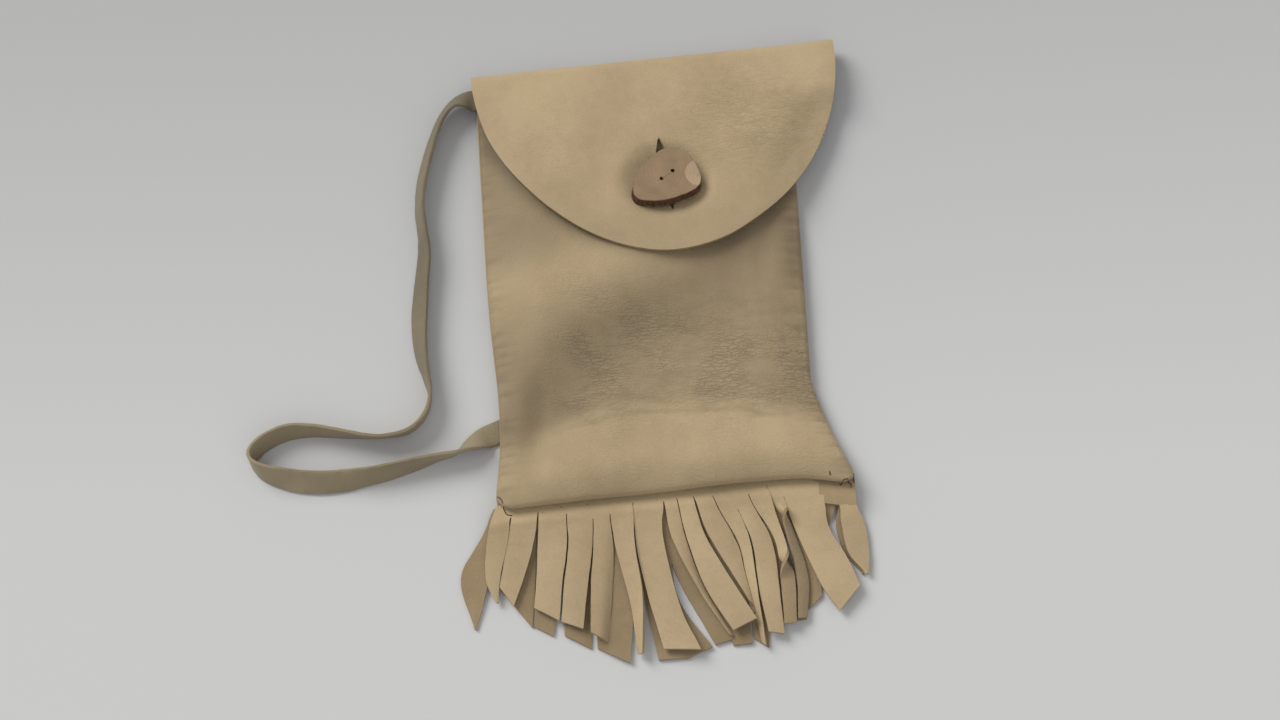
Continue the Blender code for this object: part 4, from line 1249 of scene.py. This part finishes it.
FACET_SPOT = Vector((0.0140, 0.0004))
FACET_RADIUS = 0.0064
FACET_FALL = 0.22


def button_top(spot, top):
    """Height of the button's face: sanded flat, with a slanted facet at its right."""
    facet = max(0.0, FACET_RADIUS - (spot - FACET_SPOT).length) * FACET_FALL
    return top - facet + 0.00007 * noise.noise((spot.x * 300, spot.y * 300, 5.0))


def bored(piece, cutters):
    """Cuts these pieces out of another and removes them."""
    for cutter in cutters:
        boolean = piece.modifiers.new("bore", "BOOLEAN")
        boolean.operation = "DIFFERENCE"
        boolean.solver = "MANIFOLD"
        boolean.object = cutter
    settle(piece, math.radians(38))
    for cutter in cutters:
        bpy.data.objects.remove(cutter)
    return piece


def hole_spots():
    """The two thread holes, in plan."""
    half = Vector((math.cos(HOLE_TURN), math.sin(HOLE_TURN))) * HOLE_SPACING / 2
    return BUTTON_SPOT - half, BUTTON_SPOT + half


BUTTON_HOLE = 0.0017
BUTTON_STEPS = 7


def wood_button(finishes):
    """A slice across a branch, with softened edges, a facet and two holes."""
    low, high = (corner[2] - BUTTON_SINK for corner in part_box("button"))
    edge = button_points(BUTTON_STEPS)
    rings = (
        (1.01, low),
        (1.05, low + 0.0005),
        (1.045, low + 0.0016),
        (1.0, high - 0.0008),
        (0.992, high - 0.0003),
        (0.975, high),
    )
    middle = BUTTON_SPOT.to_3d()
    bm = bmesh.new()
    chain = [bm.verts.new(middle + (spot * rings[0][0]).to_3d()) for spot in edge]
    base = bm.faces.new(chain)
    closed = chain + chain[:1]
    for number, (grow, z) in enumerate(rings):
        if number:
            edges = [bm.edges.get(pair) for pair in zip(closed, closed[1:])]
            made = bmesh.ops.extrude_edge_only(bm, edges=edges)["geom"]
            fresh = {item for item in made if isinstance(item, bmesh.types.BMVert)}
            chain = [
                next(e.other_vert(v) for e in v.link_edges if e.other_vert(v) in fresh)
                for v in chain
            ]
            closed = chain + chain[:1]
        for vert, spot in zip(chain, edge):
            rough = 1 + 0.012 * noise.noise((spot.x * 500, spot.y * 500, z * 600))
            lower = smooth(-spot.y / 0.009)
            place = spot * mix(min(grow, 1.0), grow, lower) * rough
            drop = button_top(place, 0.0) if z > (low + high) / 2 else 0.0
            vert.co = middle + place.to_3d() + Vector((0, 0, z + drop))
    for shrink in (0.82, 0.64, 0.46, 0.28):
        edges = [bm.edges.get(pair) for pair in zip(closed, closed[1:])]
        made = bmesh.ops.extrude_edge_only(bm, edges=edges)["geom"]
        fresh = {item for item in made if isinstance(item, bmesh.types.BMVert)}
        chain = [
            next(e.other_vert(v) for e in v.link_edges if e.other_vert(v) in fresh)
            for v in chain
        ]
        closed = chain + chain[:1]
        for vert, spot in zip(chain, edge):
            place = spot * shrink
            vert.co = middle + place.to_3d() + Vector((0, 0, button_top(place, high)))
    bm.faces.new(reversed(chain))
    bmesh.ops.recalc_face_normals(bm, faces=bm.faces)
    bm.normal_update()
    for face in bm.faces:
        bark = abs(face.normal.z) < 0.45 or face is base
        face.material_index = 1 if bark else 0
    piece = object_from(bm, "wood_button", finishes)
    cutters = []
    for number, spot in enumerate(hole_spots()):
        bm = bmesh.new()
        radius = BUTTON_HOLE / 2
        bmesh.ops.create_cone(
            bm, cap_ends=True, segments=24, radius1=radius, radius2=radius, depth=0.02
        )
        bmesh.ops.translate(bm, verts=bm.verts, vec=(*spot, (low + high) / 2))
        cutters.append(object_from(bm, f"bore_{number}", finishes[1:2]))
    return bored(piece, cutters)


def tube(name, lines, radius, finish):
    """Threads along these lines, each a list of points in the working frame."""
    curve = bpy.data.curves.new(name, "CURVE")
    curve.dimensions = "3D"
    curve.bevel_depth = radius
    curve.bevel_resolution = 3
    curve.use_fill_caps = True
    for line in lines:
        spline = curve.splines.new("POLY")
        spline.points.add(len(line) - 1)
        for point, place in zip(spline.points, line):
            point.co = (*(Vector(place) - MIDDLE), 1)
    curve.materials.append(finish)
    made = bpy.data.objects.new(name, curve)
    bpy.context.scene.collection.objects.link(made)
    return made


THREAD_INWARDS = 0.00045


def button_stitch(finish):
    """The thread: up through one hole, across the button, and down through the other."""
    near, far = hole_spots()
    inwards = (far - near).normalized() * THREAD_INWARDS
    near, far = near + inwards, far - inwards
    low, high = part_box("button_thread")[0][2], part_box("button")[1][2] - BUTTON_SINK
    radius = 0.00024
    top = high - radius * 0.3
    turn = 0.0007
    reach = (far - near).normalized() * turn
    half = [(*near, mix(low, top - turn, step / 8)) for step in range(9)]
    for step in range(1, 6):
        angle = math.pi / 2 * step / 5
        spot = near + reach * (1 - math.cos(angle))
        half.append((*spot, top - turn + turn * math.sin(angle)))
    last = far + near
    back = [(last.x - x, last.y - y, z) for x, y, z in reversed(half)]
    return tube("button_stitch", [half + back], radius, finish)


# Stitches that show at the two bottom corners, in millimetres
CORNER_STITCHES = (
    ((-71.0, -69.6), (-69.4, -71.4), (-68.4, -74.7), (-67.3, -76.6), (-65.3, -77.0)),
    ((65.0, -65.2), (65.2, -66.8)),
    ((69.3, -69.4), (71.2, -68.5), (73.6, -68.8), (73.8, -70.6)),
    ((75.0, -66.0), (75.2, -68.4)),
)
THREAD_DOTS = ((-53.1, -76.0), (-34.6, -73.3), (-45.3, -74.1))


def corner_stitches(finish, pieces):
    """Dark thread where the seams end, laid on whatever it crosses."""
    graph = bpy.context.evaluated_depsgraph_get()
    trees = [BVHTree.FromObject(piece, graph) for piece in pieces]

    def surface(x, y):
        above = Vector((x, y, 0.1)) - MIDDLE
        hits = [tree.ray_cast(above, Vector((0, 0, -1)))[0] for tree in trees]
        return max((hit.z for hit in hits if hit), default=HIDE)

    lines = []
    for stitch in CORNER_STITCHES:
        route = smooth_route([(x, y, 0, 0) for x, y in stitch], 10)
        line = []
        for sample in route:
            x, y = sample.x * MM, sample.y * MM
            line.append((x, y, surface(x, y) + 0.0001))
        lines.append(line)
    for x, y in THREAD_DOTS:
        x, y = x * MM, y * MM
        z = surface(x, y)
        lines.append([(x, y, z - 0.0006), (x + 0.0002, y, z + 0.00005)])
    return tube("corner_stitches", lines, 0.00021, finish)


def wood(name, ring_pale, ring_deep, fresh):
    """Fine growth rings across a branch, paler on the facet cut at its right."""
    finish, tree, shader = new_finish(name, 0.55, 0.35)
    place = put(tree, "TexCoord").outputs["Object"]
    pith = (BUTTON_SPOT.x - MIDDLE.x - 0.003, BUTTON_SPOT.y - MIDDLE.y + 0.002, 0.0)
    centred = put(tree, "Mapping", {"Vector": place, "Location": pith}, vector_type="TEXTURE")
    rings = put(
        tree,
        "TexWave",
        {
            "Vector": centred.outputs[0],
            "Scale": 190.0,
            "Distortion": 1.4,
            "Detail": 2.0,
            "Detail Scale": 1.5,
        },
        wave_type="RINGS",
        rings_direction="Z",
    )
    cloud = put(tree, "TexNoise", {"Vector": place, "Scale": 130.0, "Detail": 4.0})
    fibre = put(tree, "TexNoise", {"Vector": place, "Scale": 2600.0, "Detail": 3.0})
    colour = blend_colour(tree, spread(tree, rings.outputs["Fac"], 0, 1), ring_deep, ring_pale)
    shade = spread(tree, cloud.outputs["Fac"], 0.3, 0.7, 0.86, 1.10)
    colour = blend_colour(tree, 1.0, colour, grey(tree, shade), "MULTIPLY")
    away = tuple(MIDDLE - (BUTTON_SPOT + FACET_SPOT).to_3d())
    level = {"Vector": place, "Location": away, "Scale": (1.0, 1.0, 0.0)}
    from_facet = put(tree, "Mapping", level).outputs[0]
    reach = put(tree, "VectorMath", {0: from_facet}, operation="LENGTH").outputs["Value"]
    cut = spread(tree, reach, FACET_RADIUS - 0.0004, FACET_RADIUS + 0.0002, 1.0, 0.0)
    colour = blend_colour(tree, cut, colour, fresh)
    tree.links.new(colour, shader.inputs["Base Color"])
    bumps(tree, shader, ((rings.outputs["Fac"], 0.00003), (fibre.outputs["Fac"], 0.00004)))
    return finish


def bark(name, colour, deep):
    finish, tree, shader = new_finish(name, 0.8, 0.2)
    place = put(tree, "TexCoord").outputs["Object"]
    coarse = put(tree, "TexNoise", {"Vector": place, "Scale": 700.0, "Detail": 5.0})
    tone = spread(tree, coarse.outputs["Fac"], 0.35, 0.65)
    tree.links.new(blend_colour(tree, tone, deep, colour), shader.inputs["Base Color"])
    bumps(tree, shader, ((coarse.outputs["Fac"], 0.00030),))
    return finish


def thread(name, colour):
    finish, tree, shader = new_finish(name, 0.6, 0.3)
    place = put(tree, "TexCoord").outputs["Object"]
    strands = put(tree, "TexNoise", {"Vector": place, "Scale": 2400.0, "Detail": 2.0})
    dark = tuple(part * 0.6 for part in colour)
    tone = spread(tree, strands.outputs["Fac"], 0.35, 0.65)
    tree.links.new(blend_colour(tree, tone, dark, colour), shader.inputs["Base Color"])
    bumps(tree, shader, ((strands.outputs["Fac"], 0.0001),))
    return finish


def camera():
    """The photograph's view: from the foot of the pouch, well above it."""
    elevation, azimuth = math.radians(65), math.radians(-2.5)
    level = math.cos(elevation)
    back = Vector((math.sin(azimuth) * level, -math.cos(azimuth) * level, math.sin(elevation)))
    lens = bpy.data.cameras.new("camera")
    lens.lens = 85
    lens.sensor_width = 36
    made = bpy.data.objects.new("camera", lens)
    bpy.context.scene.collection.objects.link(made)
    made.location = Vector((-0.0071, -0.0068, 0.0)) + back * 1.2691
    made.rotation_euler = (-back).to_track_quat("-Z", "Y").to_euler()
    bpy.context.scene.camera = made


def lamp(name, azimuth, elevation, strength, softness, colour=(1, 1, 1)):
    """A soft lamp far off in this direction, in degrees."""
    light = bpy.data.lights.new(name, "SUN")
    light.energy = strength
    light.angle = math.radians(softness)
    light.color = colour
    made = bpy.data.objects.new(name, light)
    bpy.context.scene.collection.objects.link(made)
    around, up = math.radians(azimuth), math.radians(elevation)
    way = Vector((math.sin(around) * math.cos(up), math.cos(around) * math.cos(up), math.sin(up)))
    made.rotation_euler = way.to_track_quat("Z", "Y").to_euler()


def see_through(tree, seen, lit):
    """Colour seen by the camera and in reflections, another for the light on the object."""
    path = put(tree, "LightPath")
    outputs = ("Is Camera Ray", "Is Glossy Ray", "Is Transmission Ray")
    share = path.outputs[outputs[0]]
    for name in outputs[1:]:
        share = put(tree, "Math", {0: share, 1: path.outputs[name]}, operation="MAXIMUM").outputs[0]
    return blend_colour(tree, share, lit, seen)


def studio():
    """A pale floor with painted shade towards the back, soft daylight from the upper left, and a level fill.
    """
    world = bpy.data.worlds.new("studio")
    world.use_nodes = True
    bpy.context.scene.world = world
    tree = world.node_tree
    shown = see_through(tree, (0.60, 0.61, 0.61), (0.44, 0.44, 0.45))
    tree.links.new(shown, tree.nodes["Background"].inputs["Color"])
    lamp("key", -50, 40, 2.05, 34, (1.0, 0.985, 0.96))
    lamp("fill", 165, 38, 0.45, 60)
    bm = bmesh.new()
    bmesh.ops.create_grid(bm, x_segments=1, y_segments=1, size=2.0)
    mesh = bpy.data.meshes.new("floor")
    bm.to_mesh(mesh)
    bm.free()
    finish, tree, shader = new_finish("pale_floor", 0.9, 0.1)
    tone = put(tree, "TexNoise", {"Scale": 3.0, "Detail": 2.0})
    pale = blend_colour(tree, tone.outputs["Fac"], (0.60, 0.605, 0.60), (0.63, 0.635, 0.63))
    place = put(tree, "TexCoord").outputs["Object"]
    along = put(tree, "SeparateXYZ", {0: place}).outputs[1]
    # Painted shade: the floor darker towards the back
    far = spread(tree, along, -0.06, 0.17, 1.0, 0.80)
    pale = blend_colour(tree, 1.0, pale, grey(tree, far), "MULTIPLY")
    tree.links.new(pale, shader.inputs["Base Color"])
    mesh.materials.append(finish)
    floor = bpy.data.objects.new("floor", mesh)
    bpy.context.scene.collection.objects.link(floor)


def main():
    bpy.context.scene.view_settings.view_transform = "Standard"
    camera()
    studio()

    grain_side = buckskin(
        "grain_side", (0.460, 0.350, 0.203), (0.392, 0.296, 0.170), 0.00006, 0.08, 0.68
    )
    flesh_side = buckskin(
        "flesh_side", (0.355, 0.262, 0.150), (0.290, 0.212, 0.118), 0.00010, 0.25, 0.9
    )
    cut_edge = buckskin(
        "cut_edge", (0.36, 0.262, 0.150), (0.29, 0.209, 0.117), 0.00010, 0.1, 0.9
    )
    thong = buckskin(
        "thong_leather", (0.257, 0.209, 0.130), (0.200, 0.162, 0.101), 0.00009, 0.15, 0.85
    )
    slice_face = wood("branch_wood", (0.290, 0.197, 0.110), (0.282, 0.190, 0.105), (0.44, 0.325, 0.205))
    rind = bark("branch_rim", (0.12, 0.060, 0.034), (0.055, 0.026, 0.015))
    waxed = thread("waxed_thread", (0.090, 0.036, 0.026))
    button_cord = thread("button_cord", (0.34, 0.24, 0.15))

    thong_strap, path = strap([thong])
    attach(thong_strap, "root")
    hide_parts("strap")

    panel = front_panel([grain_side, flesh_side, cut_edge])
    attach(panel, "root")
    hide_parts("front_panel")

    back = back_and_flap([grain_side, flesh_side, cut_edge])
    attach(back, "root")
    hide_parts("back_and_flap")

    front_strands = fringe(
        "front_strands",
        FRONT_STRANDS,
        FRONT_SLITS,
        FRONT_LIES,
        1,
        [grain_side, flesh_side, cut_edge, flesh_side],
    )
    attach(front_strands, "root")
    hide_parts("front_fringe")

    back_strands = fringe(
        "back_strands", BACK_STRANDS, BACK_SLITS, BACK_LIES, 0, [flesh_side, grain_side, cut_edge]
    )
    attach(back_strands, "root")
    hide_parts("back_fringe")

    button = wood_button([slice_face, rind])
    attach(button, "root")
    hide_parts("button")

    shank = button_stitch(button_cord)
    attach(shank, "root")
    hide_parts("button_thread")

    stitches = corner_stitches(waxed, [panel, back, front_strands, back_strands])
    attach(stitches, "root")


main()
